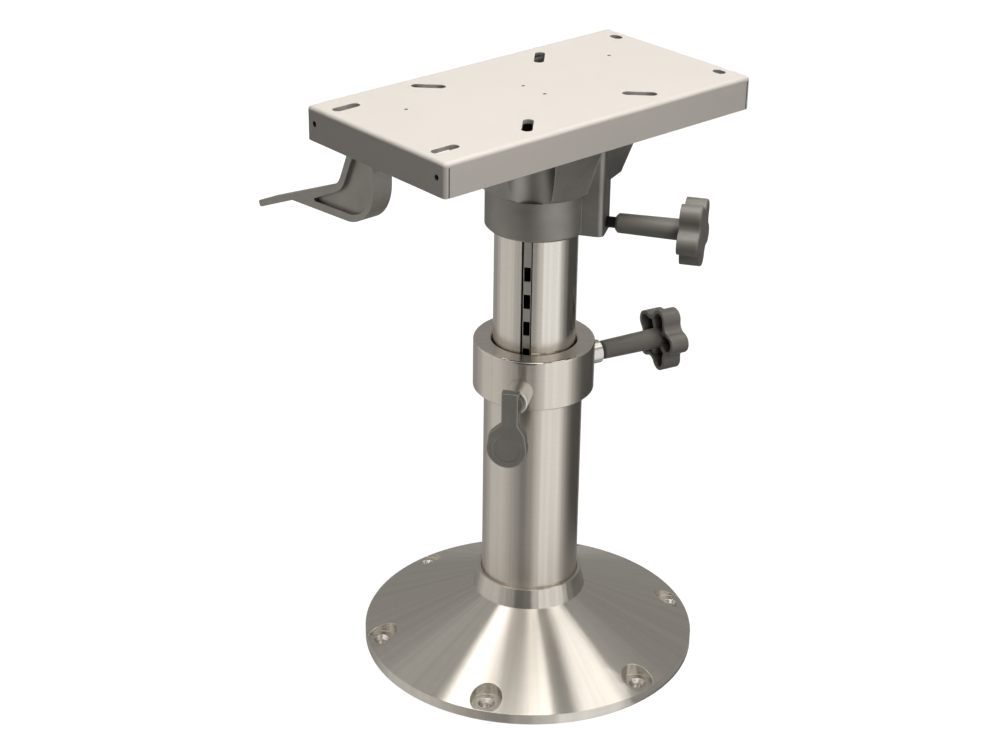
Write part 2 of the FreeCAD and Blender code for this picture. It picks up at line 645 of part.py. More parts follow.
def round_boss(name, label, radius, reach, bore, placement, spigot):
    """Turned boss set into the collar, bored along its axis."""
    owner = body(name)
    section = sketch(owner, name + "_section", "XZ_Plane")
    points = [
        (bore, boss_root),
        (radius, boss_root),
        (radius, reach + " - Sizes.boss_chamfer"),
        (radius + " - Sizes.boss_chamfer", reach),
    ]
    if spigot:
        seat = "Sizes.spigot_radius + Sizes.running_gap"
        depth = reach + " + Sizes.lever_gap - Sizes.spigot_length - Sizes.lever_gap"
        points += [(seat, reach), (seat, depth), (bore, depth)]
    else:
        points += [(bore, reach)]
    outline(section, points)
    turn(owner, name + "_turned", section)
    owner.setExpression("Placement", placement)
    return node(owner, label)


round_boss("LeverBoss", "lever_boss", "Sizes.lever_boss_radius", lever_boss_reach,
           "Sizes.pin_radius + Sizes.running_gap", lever_place, True)
round_boss("ClampBoss", "clamp_boss", "Sizes.clamp_boss_radius", clamp_boss_reach,
           "Sizes.stud_radius + Sizes.running_gap", clamp_place, False)

# Height lever.
lever_back = lever_boss_reach + " + Sizes.lever_gap"
groove_floor = post_radius + " - Sizes.groove_depth"
pin_tip = groove_floor + " + Sizes.stud_end_gap"


def height_lever():
    owner = body("HeightLever")
    base = upright(z=lever_back)
    hub = sketch(owner, "HubSketch", "XY_Plane", base)
    ring(hub, "0", "0", "Sizes.lever_disc_radius")
    pad(owner, "Hub", hub, "Sizes.lever_hub_depth")
    spigot = sketch(owner, "SpigotSketch", "XY_Plane", base)
    ring(spigot, "0", "0", "Sizes.spigot_radius")
    stem = pad(owner, "Spigot", spigot, "Sizes.spigot_length")
    stem.Reversed = True
    arm = sketch(owner, "ArmSketch", "XY_Plane", base)
    left = "-Sizes.lever_arm_left"
    right = "Sizes.lever_arm_right"
    middle = "-Sizes.paddle_shift"
    reach = "Sizes.paddle_radius * 0.97"
    side_drop = "-(Sizes.paddle_drop - Sizes.paddle_radius * 0.2)"
    outline(arm, [
        (left, "Sizes.lever_arm_top"),
        (left, "-Sizes.neck_drop", "Sizes.neck_round"),
        (middle + " - Sizes.shoulder_half", "-Sizes.shoulder_drop", "Sizes.shoulder_round"),
        (middle + " - " + reach, side_drop),
        (middle + " + " + reach, side_drop),
        (middle + " + Sizes.shoulder_half", "-Sizes.shoulder_drop", "Sizes.shoulder_round"),
        (right, "-Sizes.neck_drop", "Sizes.neck_round"),
        (right, "Sizes.lever_arm_top"),
    ])
    pad(owner, "Arm", arm, "Sizes.lever_arm_depth")
    disc = sketch(owner, "PaddleSketch", "XY_Plane", base)
    ring(disc, middle, "-Sizes.paddle_drop", "Sizes.paddle_radius")
    paddle = pad(owner, "Paddle", disc, "Sizes.lever_arm_depth")
    front = value(lever_back + " + Sizes.lever_arm_depth")

    def outer_face(edge):
        return near(edge.BoundBox.ZMin, front) and near(edge.BoundBox.ZMax, front)

    rounded = round_off(owner, "LeverRounded", paddle, "Sizes.lever_edge", outer_face)
    face = upright(z=lever_back + " + Sizes.lever_arm_depth")
    dish = sketch(owner, "DishSketch", "XY_Plane", face)
    ring(dish, middle, "-Sizes.paddle_drop", "Sizes.paddle_recess_radius")
    pocket(owner, "Dish", dish, "Sizes.paddle_recess_depth")
    bore = sketch(owner, "BoreSketch", "XY_Plane", upright(z=boss_root))
    ring(bore, "0", "0", "Sizes.pin_radius + Sizes.running_gap")
    pocket(owner, "Bore", bore, lever_back + " + Sizes.lever_hub_depth * 0.5 - " + boss_root, True)
    owner.setExpression("Placement", lever_place)
    return node(owner, "height_lever"), rounded


height_lever()

pin_length = lever_back + " - (" + pin_tip + ") - Sizes.spigot_length * 0.5"
node(cylinder("LockPin", "Sizes.pin_radius", pin_length, lever_place, pin_tip), "lock_pin")

# Telescoping post.


def post():
    owner = body("Post")
    section = sketch(owner, "PostRing", "XY_Plane", upright(z="Sizes.post_bottom"))
    ring(section, "0", "0", post_radius)
    ring(section, "0", "0", post_radius + " - Sizes.post_wall")
    pad(owner, "PostTube", section, "Sizes.post_top - Sizes.post_bottom")
    half = "Sizes.groove_width / 2"
    far = post_radius + " + 1"
    channel = sketch(owner, "GrooveSketch", "XY_Plane", upright(z="Sizes.post_bottom"))
    outline(channel, [
        (groove_floor, "-(" + half + ")"),
        (far, "-(" + half + ")"),
        (far, half),
        (groove_floor, half),
    ])
    pocket(owner, "Groove", channel, "Sizes.post_top - Sizes.post_bottom", True)
    lowest = "Sizes.fitting_height - (Sizes.window_count - 1 - Sizes.windows_above) * Sizes.window_pitch"
    low = lowest + " - Sizes.window_height / 2"
    high = lowest + " + Sizes.window_height / 2"
    side = "Sizes.window_width / 2"
    opening = sketch(owner, "WindowSketch", "YZ_Plane")
    outline(opening, [("-(" + side + ")", low), (side, low), (side, high), ("-(" + side + ")", high)])
    window = pocket(owner, "Window", opening, far, True)
    row_of = owner.newObject("PartDesign::LinearPattern", "Windows")
    row_of.Originals = [window]
    row_of.Direction = (opening, ["V_Axis"])
    row_of.setExpression("Length", "Sizes.window_pitch * (Sizes.window_count - 1)")
    row_of.setExpression("Occurrences", "Sizes.window_count")
    owner.Tip = row_of
    owner.setExpression("Placement", upright(yaw="Sizes.lever_azimuth - 90"))
    return node(owner, "height_post")


post()

washer = tube("Washer", "Sizes.washer_bore", bushing_outside + " - Sizes.washer_gap",
              "Sizes.post_top", washer_top)
node(washer, "thrust_washer")

bushing = tube("Bushing", sleeve_inside, bushing_outside,
               barrel_bottom + " + Sizes.bushing_inset", "Sizes.post_top - Sizes.washer_gap")
bushing_hole = cylinder("BushingHole", "Sizes.stud_radius + Sizes.pin_hole_gap",
                        barrel_radius, swivel_place)
node(cut("BushingDrilled", bushing, [bushing_hole]), "swivel_bushing")

# Swivel head.
flange_low = head_top + " - Sizes.head_flange"
head_rise = "(" + head_top + " - " + barrel_top + ")"
top_half = "(%s + %s * Sizes.square_flare)" % (square_half, head_rise)


def head():
    barrel = body("Barrel")
    section = sketch(barrel, "BarrelSection", "XZ_Plane")
    outline(section, [
        ("0", barrel_bottom),
        (barrel_radius + " - Sizes.barrel_chamfer", barrel_bottom),
        (barrel_radius, barrel_bottom + " + Sizes.barrel_chamfer"),
        (barrel_radius, barrel_top),
        ("0", barrel_top),
    ])
    turn(barrel, "BarrelTurned", section)
    square = doc.addObject("Part::Wedge", "Square")
    bind(square, {
        "Xmin": "-" + square_half, "Xmax": square_half,
        "Zmin": "-" + square_half, "Zmax": square_half,
        "X2min": "-" + top_half, "X2max": top_half,
        "Z2min": "-" + top_half, "Z2max": top_half,
        "Ymin": "0", "Ymax": head_rise,
        "Placement": "placement(vector(0; 0; " + barrel_top + "); rotation(0; 0; 90))",
    })
    under = cone("Underside", underside_radius,
                 "%s + %s / Sizes.underside_rise" % (underside_radius, head_rise),
                 head_rise, upright(z=barrel_top))
    block = common("Block", square, under)
    nose = body("Nose")
    plan = sketch(nose, "NosePlan", "XY_Plane", upright(z=barrel_bottom))
    outline(plan, [
        ("0", "-Sizes.nose_half_width"),
        (nose_front, "-Sizes.nose_half_width", "Sizes.nose_radius"),
        (nose_front, "Sizes.nose_half_width", "Sizes.nose_radius"),
        ("0", "Sizes.nose_half_width"),
    ])
    pad(nose, "NosePad", plan, head_top + " - " + barrel_bottom)
    nose.setExpression("Placement", upright(yaw="Sizes.swivel_azimuth - 90"))
    solid = fuse("HeadSolid", [barrel, block, nose])

    bore = cylinder("HeadBore", head_bore, washer_top + " + Sizes.washer_gap - " + barrel_bottom,
                    upright(z=barrel_bottom))
    stud = cylinder("HeadStudHole", "Sizes.stud_radius + Sizes.running_gap",
                    swivel_knob_start, swivel_place)
    tools = [bore, stud]
    for index in range(2):
        turned = "Sizes.flute_azimuth - 90 + %d" % (180 * index)
        away = "%s * placement(vector({}; 0; {}); rotation(0; 0; 0))".format(flute_distance, flute_floor)
        tools.append(cylinder("Flute%d" % index, "Sizes.flute_radius",
                              flange_low + " - " + flute_floor, away % upright(yaw=turned)))
    for index, (side_x, side_y) in enumerate(((1, 1), (1, -1), (-1, 1), (-1, -1))):
        place = upright("%d * Sizes.screw_offset" % side_x, "%d * Sizes.screw_offset" % side_y, screw_end)
        tools.append(cylinder("HeadScrewHole%d" % index, "Sizes.screw_radius + Sizes.press_gap",
                              "Sizes.screw_length", place))
    return node(cut("Head", solid, tools), "swivel_head")


screw_end = slide_top + " - Sizes.screw_length"
head()


def star_knob(name, label, start, placement, turned):
    """Moulded star knob with a long shank; its local Z points outward."""
    owner = body(name)
    shank_end = start + " + Sizes.shank_length"
    star_low = shank_end + " - Sizes.star_overlap"
    star_high = star_low + " + Sizes.star_height"
    count = int(value("Sizes.lobe_count"))
    lobe = value("Sizes.lobe_radius")
    away = value("Sizes.lobe_distance")
    hollow = value("Sizes.valley_radius")
    half = math.pi / count

    def star(item, inset):
        """Outline of lobes and hollows as arcs that meet smoothly, with a hollow on local X."""
        valley = value(valley_distance)
        swing = math.atan2(value(lobe_side), valley - value(lobe_reach))
        for index in range(count):
            angle = half + 2 * half * index
            centre = FreeCAD.Vector(away * math.cos(angle), away * math.sin(angle), 0)
            sweep = half + swing
            arc = Part.Circle(centre, FreeCAD.Vector(0, 0, 1), lobe - inset)
            item.addGeometry(Part.ArcOfCircle(arc, angle - sweep, angle + sweep))
            between = angle + half
            centre = FreeCAD.Vector(valley * math.cos(between), valley * math.sin(between), 0)
            arc = Part.Circle(centre, FreeCAD.Vector(0, 0, 1), hollow + inset)
            back = between + math.pi
            item.addGeometry(Part.ArcOfCircle(arc, back - swing, back + swing))

    section = sketch(owner, name + "_shank", "XZ_Plane")
    outline(section, [
        ("0", start),
        ("Sizes.shank_tip_radius - Sizes.shank_chamfer", start),
        ("Sizes.shank_tip_radius", start + " + Sizes.shank_chamfer"),
        ("Sizes.shank_root_radius", shank_end),
        ("Sizes.shank_root_radius", star_high + " - Sizes.star_face / 2"),
        ("0", star_high + " - Sizes.star_face / 2"),
    ])
    plan = sketch(owner, name + "_star", "XY_Plane", upright(z=star_low))
    star(plan, 0.0)
    solid = pad(owner, name + "_star_pad", plan, "Sizes.star_height")
    top = value(star_high)

    def outer_edge(edge):
        return near(edge.BoundBox.ZMin, top) and near(edge.BoundBox.ZMax, top)

    round_off(owner, name + "_star_round", solid, "Sizes.star_edge", outer_edge)
    core = sketch(owner, name + "_core", "XY_Plane", upright(z=star_low))
    star(core, value("Sizes.star_wall"))
    pocket(owner, name + "_core_cut", core, "Sizes.star_height - Sizes.star_face", True)
    turn(owner, name + "_shank_turned", section)
    rib = sketch(owner, name + "_rib", "XY_Plane", upright(z=star_low + " + Sizes.rib_inset"))
    reach = "%s - Sizes.valley_radius - Sizes.star_wall * 0.5" % valley_distance
    side = "Sizes.rib_width / 2"
    outline(rib, [("Sizes.shank_tip_radius * 0.8", "-(" + side + ")"), (reach, "-(" + side + ")"),
                  (reach, side), ("Sizes.shank_tip_radius * 0.8", side)])
    web = pad(owner, name + "_rib_pad", rib, "Sizes.star_height - Sizes.rib_inset - Sizes.star_face / 2")
    ribs = owner.newObject("PartDesign::PolarPattern", name + "_ribs")
    ribs.Originals = [web]
    ribs.Axis = (section, ["V_Axis"])
    ribs.Angle = 360
    ribs.setExpression("Occurrences", "Sizes.lobe_count")
    owner.Tip = ribs
    turn_over = " * placement(vector(0; 0; 0); rotation(%s; 0; 0))" % turned
    owner.setExpression("Placement", placement + turn_over)
    bore = cylinder(name + "_bore", "Sizes.stud_radius + Sizes.press_gap",
                    "Sizes.stud_in_knob + Sizes.press_gap", placement, start)
    return node(cut(name + "_bored", owner, [bore]), label)


def stud(name, label, start, placement):
    """Plain stud from just off the post to the inside of its knob."""
    tip = post_radius + " + Sizes.stud_end_gap"
    length = start + " + Sizes.stud_in_knob - (" + tip + ")"
    return node(cylinder(name, "Sizes.stud_radius", length, placement, tip), label)


star_knob("SwivelKnob", "swivel_knob", swivel_knob_start, swivel_place, "Sizes.swivel_knob_turn")
stud("SwivelStud", "swivel_stud", swivel_knob_start, swivel_place)
star_knob("ClampKnob", "clamp_knob", clamp_knob_start, clamp_place, "Sizes.clamp_knob_turn")
stud("ClampStud", "clamp_stud", clamp_knob_start, clamp_place)

# Seat slide.


def slide_base():
    base = box("SlideBlank", "2 * Sizes.slide_half_length", "2 * " + slide_half_width,
               "Sizes.slide_thickness",
               upright("-Sizes.slide_half_length", "-" + slide_half_width, head_top))
    tools = []
    screws = []
    for index, (side_x, side_y) in enumerate(((1, 1), (1, -1), (-1, 1), (-1, -1))):
        x = "%d * Sizes.screw_offset" % side_x
        y = "%d * Sizes.screw_offset" % side_y
        tools.append(cone("Countersink%d" % index, "Sizes.screw_radius", "Sizes.screw_head_radius",
                          "Sizes.slide_thickness", upright(x, y, head_top)))
        shank = cylinder("ScrewShank%d" % index, "Sizes.screw_radius",
                         "Sizes.screw_length - Sizes.slide_thickness / 2", upright(x, y, screw_end))
        top = cone("ScrewHead%d" % index, "Sizes.screw_radius", "Sizes.screw_head_radius",
                   "Sizes.slide_thickness", upright(x, y, head_top))
        screws.append(fuse("Screw%d" % index, [shank, top]))
    node(cut("SlideBase", base, tools), "slide_base")
    group = doc.addObject("Part::Compound", "HeadScrews")
    group.Links = screws
    return node(group, "head_screws")


slide_base()


def glide_strip(name, label, yaw):
    """Nylon strip that wraps one long edge of the slide base."""
    owner = body(name)
    section = sketch(owner, name + "_section", "YZ_Plane")
    low = head_top
    edge = slide_half_width
    inner = edge + " - Sizes.strip_width"
    outer = edge + " + Sizes.strip_wall"
    outline(section, [
        (inner, low + " - Sizes.strip_wall"), (outer, low + " - Sizes.strip_wall"),
        (outer, slide_top + " + Sizes.strip_wall"), (inner, slide_top + " + Sizes.strip_wall"),
        (inner, slide_top), (edge, slide_top), (edge, low), (inner, low),
    ])
    pad(owner, name + "_pad", section, "2 * Sizes.slide_half_length", True)
    owner.setExpression("Placement", upright(yaw=yaw))
    return node(owner, label)


glide_strip("FrontStrip", "glide_strip_front", "180")
glide_strip("BackStrip", "glide_strip_back", "0")


def rack():
    owner = body("Rack")
    place = upright(z=slide_top)
    plan = sketch(owner, "RackPlan", "XY_Plane", place)
    low = rack_y
    high = rack_y + " + Sizes.rack_width"
    outline(plan, [
        ("-Sizes.slide_half_length", low), ("Sizes.slide_half_length", low),
        ("Sizes.slide_half_length", high), ("-Sizes.slide_half_length", high),
    ])
    bar = pad(owner, "RackBar", plan, "Sizes.rack_height")
    first = "-(Sizes.tooth_gap_count - 1) * Sizes.tooth_pitch / 2"
    left = first + " - Sizes.tooth_gap / 2"
    right = first + " + Sizes.tooth_gap / 2"
    gap = sketch(owner, "GapPlan", "XY_Plane", upright(z=slide_top + " + Sizes.rack_height"))
    outline(gap, [
        (left, rack_y + " + Sizes.rack_spine"), (right, rack_y + " + Sizes.rack_spine"),
        (right, high + " + 1"), (left, high + " + 1"),
    ])
    notch = pocket(owner, "Gap", gap, "Sizes.rack_height")
    teeth = owner.newObject("PartDesign::LinearPattern", "Gaps")
    teeth.Originals = [notch]
    teeth.Direction = (gap, ["H_Axis"])
    teeth.setExpression("Length", "Sizes.tooth_pitch * (Sizes.tooth_gap_count - 1)")
    teeth.setExpression("Occurrences", "Sizes.tooth_gap_count")
    owner.Tip = teeth
    return node(owner, "slide_rack"), bar


rack()

# Moving top plate.
rail_low = head_top + " - Sizes.strip_wall - Sizes.strip_gap"
rail_mid = slide_top + " + Sizes.strip_wall + Sizes.strip_gap"
rail_start = plate_left + " + Sizes.sheet_thickness"
rail_run = "Sizes.plate_length - 2 * Sizes.sheet_thickness"


def stop_block(name, x, side):
    """Block that stands in the track and shows a little below the plate."""
    y = stop_y if side > 0 else "-" + stop_y + " - Sizes.stop_depth"
    low = plate_low + " - Sizes.stop_drop"
    return box(name, "Sizes.stop_length", "Sizes.stop_depth", rail_mid + " - (" + low + ")",
               upright(x, y, low))


def rail(name, label, yaw, stop):
    """Side rail: a track for the glide strip, open towards the middle."""
    owner = body(name)
    section = sketch(owner, name + "_section", "YZ_Plane")
    wall = inner_half + " - Sizes.rail_web"
    lip = inner_half + " - Sizes.rail_flange_width"
    top = inner_half + " - Sizes.rail_top_width"
    outline(section, [
        (lip, rail_low + " - Sizes.rail_flange"), (inner_half, rail_low + " - Sizes.rail_flange"),
        (inner_half, ceiling), (top, ceiling),
        (top, ceiling + " - Sizes.rail_flange"), (wall, ceiling + " - Sizes.rail_flange"),
        (wall, rail_mid + " + Sizes.rail_flange"), (lip, rail_mid + " + Sizes.rail_flange"),
        (lip, rail_mid), (wall, rail_mid), (wall, rail_low), (lip, rail_low),
    ])
    pad(owner, name + "_pad", section, rail_run, True)
    owner.setExpression("Placement", upright(x="Sizes.plate_centre", yaw=yaw))
    tools = [stop]
    if yaw == "0":
        clear = "Sizes.lever_width + 2 * Sizes.lever_clearance"
        reach = "Sizes.rail_flange_width - Sizes.rail_web + 1"
        low = rail_low + " - Sizes.rail_flange"
        height = rail_mid + " + Sizes.rail_flange - (" + low + ")"
        tools.append(box("LeverNotch", clear, reach, height,
                         upright(lever_left + " - Sizes.lever_clearance",
                                 inner_half + " - Sizes.rail_flange_width - 1", low)))
    return node(cut(name + "_cut", owner, tools), label)


right_slot = stop_block("RightStopSlot", right_stop_x, -1)
left_slot = stop_block("LeftStopSlot", left_stop_x, 1)
rail("FrontRail", "rail_front", "180", right_slot)
rail("BackRail", "rail_back", "0", left_slot)
stops = doc.addObject("Part::Compound", "SlideStops")
stops.Links = [stop_block("RightStop", right_stop_x, -1),
               stop_block("LeftStop", left_stop_x, 1)]
node(stops, "slide_stops")


def slot_tool(name, length, width, x, y, yaw):
    """Cutter for a slot with round ends, upright through the seat face."""
    place = upright(x, y, ceiling + " - 1", yaw)
    half = "(%s - %s) / 2" % (length, width)
    depth = "Sizes.sheet_thickness + 2"
    shift = "%s * placement(vector(%s; %s; 0); rotation(0; 0; 0))"
    bar = box(name + "_bar", "2 * " + half, width, depth,
              shift % (place, "-" + half, "-%s / 2" % width))
    ends = [cylinder("%s_end%d" % (name, index), width + " / 2", depth,
                     shift % (place, "%d * %s" % (side, half), "0"))
            for index, side in enumerate((1, -1))]
    return fuse(name, [bar] + ends)


def top_plate():
    owner = body("PlateShell")
    plan = sketch(owner, "PlatePlan", "XY_Plane", upright(z=plate_low))
    left = "-Sizes.plate_length / 2"
    right = "Sizes.plate_length / 2"
    low = "-Sizes.plate_width / 2"
    high = "Sizes.plate_width / 2"
    outline(plan, [(left, low), (right, low), (right, high), (left, high)])
    block = pad(owner, "PlateBlock", plan, "Sizes.plate_drop")
    top = value(plate_top)
    bottom = value(plate_low)

    def fold(edge):
        flat = near(edge.BoundBox.ZMin, top) and near(edge.BoundBox.ZMax, top)
        corner = near(edge.BoundBox.ZMin, bottom) and near(edge.BoundBox.ZMax, top)
        return flat or corner

    round_off(owner, "PlateFolds", block, "Sizes.fold_radius", fold)
    hollow = sketch(owner, "HollowPlan", "XY_Plane", upright(z=plate_low))
    wall = "Sizes.sheet_thickness"
    outline(hollow, [
        (left + " + " + wall, low + " + " + wall), (right + " - " + wall, low + " + " + wall),
        (right + " - " + wall, high + " - " + wall), (left + " + " + wall, high + " - " + wall),
    ])
    pocket(owner, "Hollow", hollow, "Sizes.plate_drop - " + wall, True)
    owner.setExpression("Placement", upright(x="Sizes.plate_centre"))

    centre = "Sizes.plate_centre"
    tools = []
    for index, (side_x, side_y) in enumerate(((1, 1), (1, -1), (-1, 1), (-1, -1))):
        tools.append(slot_tool("SeatSlot%d" % index, "Sizes.seat_slot_length", "Sizes.seat_slot_width",
                               "%s + %d * %s" % (centre, side_x, seat_slot_place),
                               "%d * %s" % (side_y, seat_slot_place), "%d" % (45 * side_x * side_y)))
    for index, side in enumerate((1, -1)):
        tools.append(slot_tool("LeftSlot%d" % index, "Sizes.left_slot_length", "Sizes.left_slot_width",
                               left_slot_x, "%d * %s" % (side, left_slot_y), "0"))
        tools.append(slot_tool("RightSlot%d" % index, "Sizes.right_slot_length", "Sizes.right_slot_width",
                               right_slot_x, "%d * %s" % (side, right_slot_y), "90"))
        tools.append(cylinder("EndHole%d" % index, "Sizes.end_hole_radius",
                              "Sizes.sheet_thickness * 3",
                              "placement(vector(%s - Sizes.sheet_thickness; %d * %s;"
                              " %s - Sizes.end_hole_drop); rotation(0; 90; 0))"
                              % (plate_left, side, end_hole_y, plate_top)))
    marks = [("0", "Sizes.centre_mark_y"), ("0", "-Sizes.centre_mark_y"),
             ("Sizes.side_mark_x", "Sizes.side_mark_y"), ("-Sizes.side_mark_x", "Sizes.side_mark_y")]
    for index, (x, y) in enumerate(marks):
        place = upright(centre + " + " + x, y, plate_top + " - Sizes.pin_mark_depth")
        tools.append(cylinder("Mark%d" % index, "Sizes.pin_mark_radius", "Sizes.sheet_thickness", place))
    for index, (side_x, side_y) in enumerate(((1, 1), (1, -1), (-1, 1), (-1, -1))):
        if side_x > 0:
            x = plate_right + " - Sizes.sheet_thickness - Sizes.seam_width"
        else:
            x = plate_left + " + Sizes.sheet_thickness"
        if side_y > 0:
            y = inner_half
        else:
            y = "-Sizes.plate_width / 2 - 1"
        tools.append(box("Seam%d" % index, "Sizes.seam_width", "Sizes.sheet_thickness + 1",
                         "Sizes.plate_drop - Sizes.fold_radius - 0.5", upright(x, y, plate_low)))
    return node(cut("TopPlate", owner, tools), "seat_plate")


top_plate()

# Slide lever and shaft.


def along(x, y=shaft_y, z=shaft_height):
    """Placement whose local Z points along +X."""
    return "placement(vector(%s; %s; %s); rotation(0; 90; 0))" % (x, y, z)


node(cylinder("LeverShaft", "Sizes.shaft_radius", shaft_right + " - " + shaft_left,
              along(shaft_left)), "lever_shaft")


def bracket(name, x):
    low = bracket_low
    block = box(name, "Sizes.bracket_width", "2 * Sizes.bracket_half_depth", ceiling + " - (" + low + ")",
                upright(x, shaft_y + " - Sizes.bracket_half_depth", low))
    hole = cylinder(name + "_hole", "Sizes.shaft_radius + Sizes.shaft_gap",
                    "Sizes.bracket_width", along(x))
    return cut(name + "_bored", block, [hole])


brackets = doc.addObject("Part::Compound", "ShaftBrackets")
brackets.Links = [bracket("LeftBracket", left_bracket_x),
                  bracket("MiddleBracket", middle_bracket_x),
                  bracket("RightBracket", right_bracket_x)]
node(brackets, "shaft_brackets")


def pawl():
    ring_part = cylinder("PawlRing", "Sizes.pawl_radius", "Sizes.pawl_width", along("Sizes.pawl_x"))
    tip = rack_y + " + Sizes.rack_width + Sizes.pawl_gap"
    finger = box("PawlFinger", "Sizes.pawl_width", shaft_y + " - (" + tip + ")",
                 "Sizes.shaft_radius", upright("Sizes.pawl_x", tip,
                                               shaft_height + " - Sizes.pawl_radius"))
    solid = fuse("PawlSolid", [ring_part, finger])
    hole = cylinder("PawlBore", "Sizes.shaft_radius", "Sizes.pawl_width", along("Sizes.pawl_x"))
    return node(cut("Pawl", solid, [hole]), "slide_pawl")


pawl()


def slide_lever():
    """Cast lever: hub, rimmed arm with a round heel, and a thin blade."""
    place = upright(z=lever_left + " + Sizes.lever_width / 2")
    owner = body("SlideLever")
    shape = sketch(owner, "LeverOutline", "YZ_Plane", place)
    hub = "Sizes.lever_hub_radius"
    rim = "Sizes.lever_rim"
    tip = "Sizes.blade_thickness * 0.4"
    outline(shape, [
        (shaft_y + " - " + hub + " * 0.9", shaft_height),
        (heel_y, heel_top, rim),
        (heel_y, heel_height, "Sizes.heel_radius"),
        (blade_root_y, blade_root_height, rim),
        (blade_tip_y + " - Sizes.blade_thickness * 0.2",
         blade_tip_height + " - Sizes.blade_thickness / 2", tip),
        (blade_tip_y + " + Sizes.blade_thickness * 0.2",
         blade_tip_height + " + Sizes.blade_thickness / 2", tip),
        (elbow_y, elbow_height, "Sizes.elbow_radius"),
        (shaft_y + " + " + hub + " * 0.9", shaft_height),
    ])
    pad(owner, "LeverArm", shape, "Sizes.lever_width", True)
    disc = sketch(owner, "LeverHubSketch", "YZ_Plane", place)
    ring(disc, shaft_y, shaft_height, hub)
    pad(owner, "LeverHub", disc, "Sizes.lever_width", True)
    for index, side in enumerate((1, -1)):
        face = lever_left if side < 0 else lever_left + " + Sizes.lever_width"
        recess = sketch(owner, "Recess%d" % index, "YZ_Plane", upright(z=face))
        outline(recess, [
            (heel_y + " + 1.6 * " + rim, heel_top + " + 2 * " + rim, rim + " / 3"),
            (heel_y + " + 0.6 * " + rim, heel_top + " - " + rim, rim),
            (heel_y + " + 0.6 * " + rim, heel_height + " + " + rim, "Sizes.heel_radius - " + rim),
            (blade_root_y + " - 4 * " + rim, blade_root_height + " + 1.3 * " + rim, rim + " / 5"),
            (elbow_y + " - 0.7 * " + rim, elbow_height + " - 0.6 * " + rim,
             "Sizes.elbow_radius + 0.5 * " + rim),
            (shaft_y + " + 1.4 * " + rim, heel_top + " + 2 * " + rim, rim + " / 3"),
        ])
        pocket(owner, "RecessCut%d" % index, recess,
               "(Sizes.lever_width - Sizes.lever_web) / 2", side < 0)
    bore = sketch(owner, "LeverBore", "YZ_Plane", place)
    ring(bore, shaft_y, shaft_height, "Sizes.shaft_radius")
    pocket(owner, "LeverBoreCut", bore, "Sizes.lever_width", False, True)
    return node(owner, "slide_lever")


slide_lever()

# Check and write.
doc.recompute()
broken = [item.Name for item in doc.Objects if "Invalid" in item.State or "Error" in item.State]
if broken:
    raise RuntimeError("failed objects: " + ", ".join(broken))
for item in nodes:
    if item.Shape.isNull() or not item.Shape.isValid():
        raise RuntimeError("bad shape: " + item.Label)
for item in nodes:
    item.Shape.exportStep("parts/%s.step" % item.Label)
    print("%-18s solids %d volume %.1f" % (item.Label, len(item.Shape.Solids), item.Shape.Volume))
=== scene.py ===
# %% [markdown]
# # A boat seat pedestal
#
# The real object is a cast and turned aluminium column that carries a boat seat. A round cone base
# is screwed to the deck. A post telescopes in the column, a swivel head turns on the post, and a
# painted steel plate slides fore and aft on the head.
#
# The solids come from a CAD frame in metres, with +Z up and the deck at zero. Every form is already
# in them, so this script only dresses them: it gives each piece its finish, and then sets up the
# studio and the camera. Bare metal shows little but what it mirrors, so the studio matters as much
# as the materials do.

# %% Load the frame
import math

import bpy
from mathutils import Matrix, Vector


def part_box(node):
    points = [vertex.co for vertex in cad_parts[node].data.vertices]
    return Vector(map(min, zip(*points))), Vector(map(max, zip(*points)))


MM = 0.001
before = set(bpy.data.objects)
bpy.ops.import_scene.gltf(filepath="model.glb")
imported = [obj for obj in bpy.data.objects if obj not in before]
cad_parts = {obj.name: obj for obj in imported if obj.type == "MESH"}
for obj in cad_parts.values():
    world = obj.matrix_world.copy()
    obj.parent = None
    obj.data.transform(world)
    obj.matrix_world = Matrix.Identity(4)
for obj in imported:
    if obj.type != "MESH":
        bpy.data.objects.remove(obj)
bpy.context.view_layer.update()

# %% [markdown]
# ## Colour and nodes
#
# Colours are written as sRGB hex values, as a paint chart gives them. Blender's shaders work in
# linear light, so one function turns a hex value into linear numbers. A second small function adds
# a shader node with its settings and its links, which keeps each material short enough to read. It
# takes a socket by its label, or by its number where several sockets share one label.


# %% Colour and node helpers
def linear(hex_value):
    """Turn an sRGB hex colour into the linear RGBA that a shader socket takes."""
    channels = [int(hex_value[i:i + 2], 16) / 255 for i in (1, 3, 5)]
    light = [c / 12.92 if c <= 0.04045 else ((c + 0.055) / 1.055) ** 2.4 for c in channels]
    return (*light, 1.0)


def find_socket(node, label):
    """An input by its label, as in Base_Color, or by its number, as in _0."""
    if label[1:].isdigit():
        return node.inputs[int(label[1:])]
    return node.inputs[label.replace("_", " ")]


def add(tree, kind, settings=None, **sockets):
    """Add a node. A socket's value is either a constant or the output of another node."""
    node = tree.nodes.new(kind)
    for name, value in (settings or {}).items():
        setattr(node, name, value)
    for label, value in sockets.items():
        socket = find_socket(node, label)
        if isinstance(value, bpy.types.NodeSocket):
            tree.links.new(value, socket)
        else:
            socket.default_value = value
    return node


def new_material(name):
    """An empty node material and its tree."""
    material = bpy.data.materials.new(name)
    material.use_nodes = True
    material.node_tree.nodes.clear()
    return material, material.node_tree


def finish_material(tree, shader):
    """Send a shader to the surface output."""
    add(tree, "ShaderNodeOutputMaterial", Surface=shader.outputs[0])


def per_metre(size_in_mm):
    """Noise scale that gives features of about a size in millimetres."""
    return 1000 / size_in_mm


print("half grey in linear light", round(linear("#808080")[0], 3))

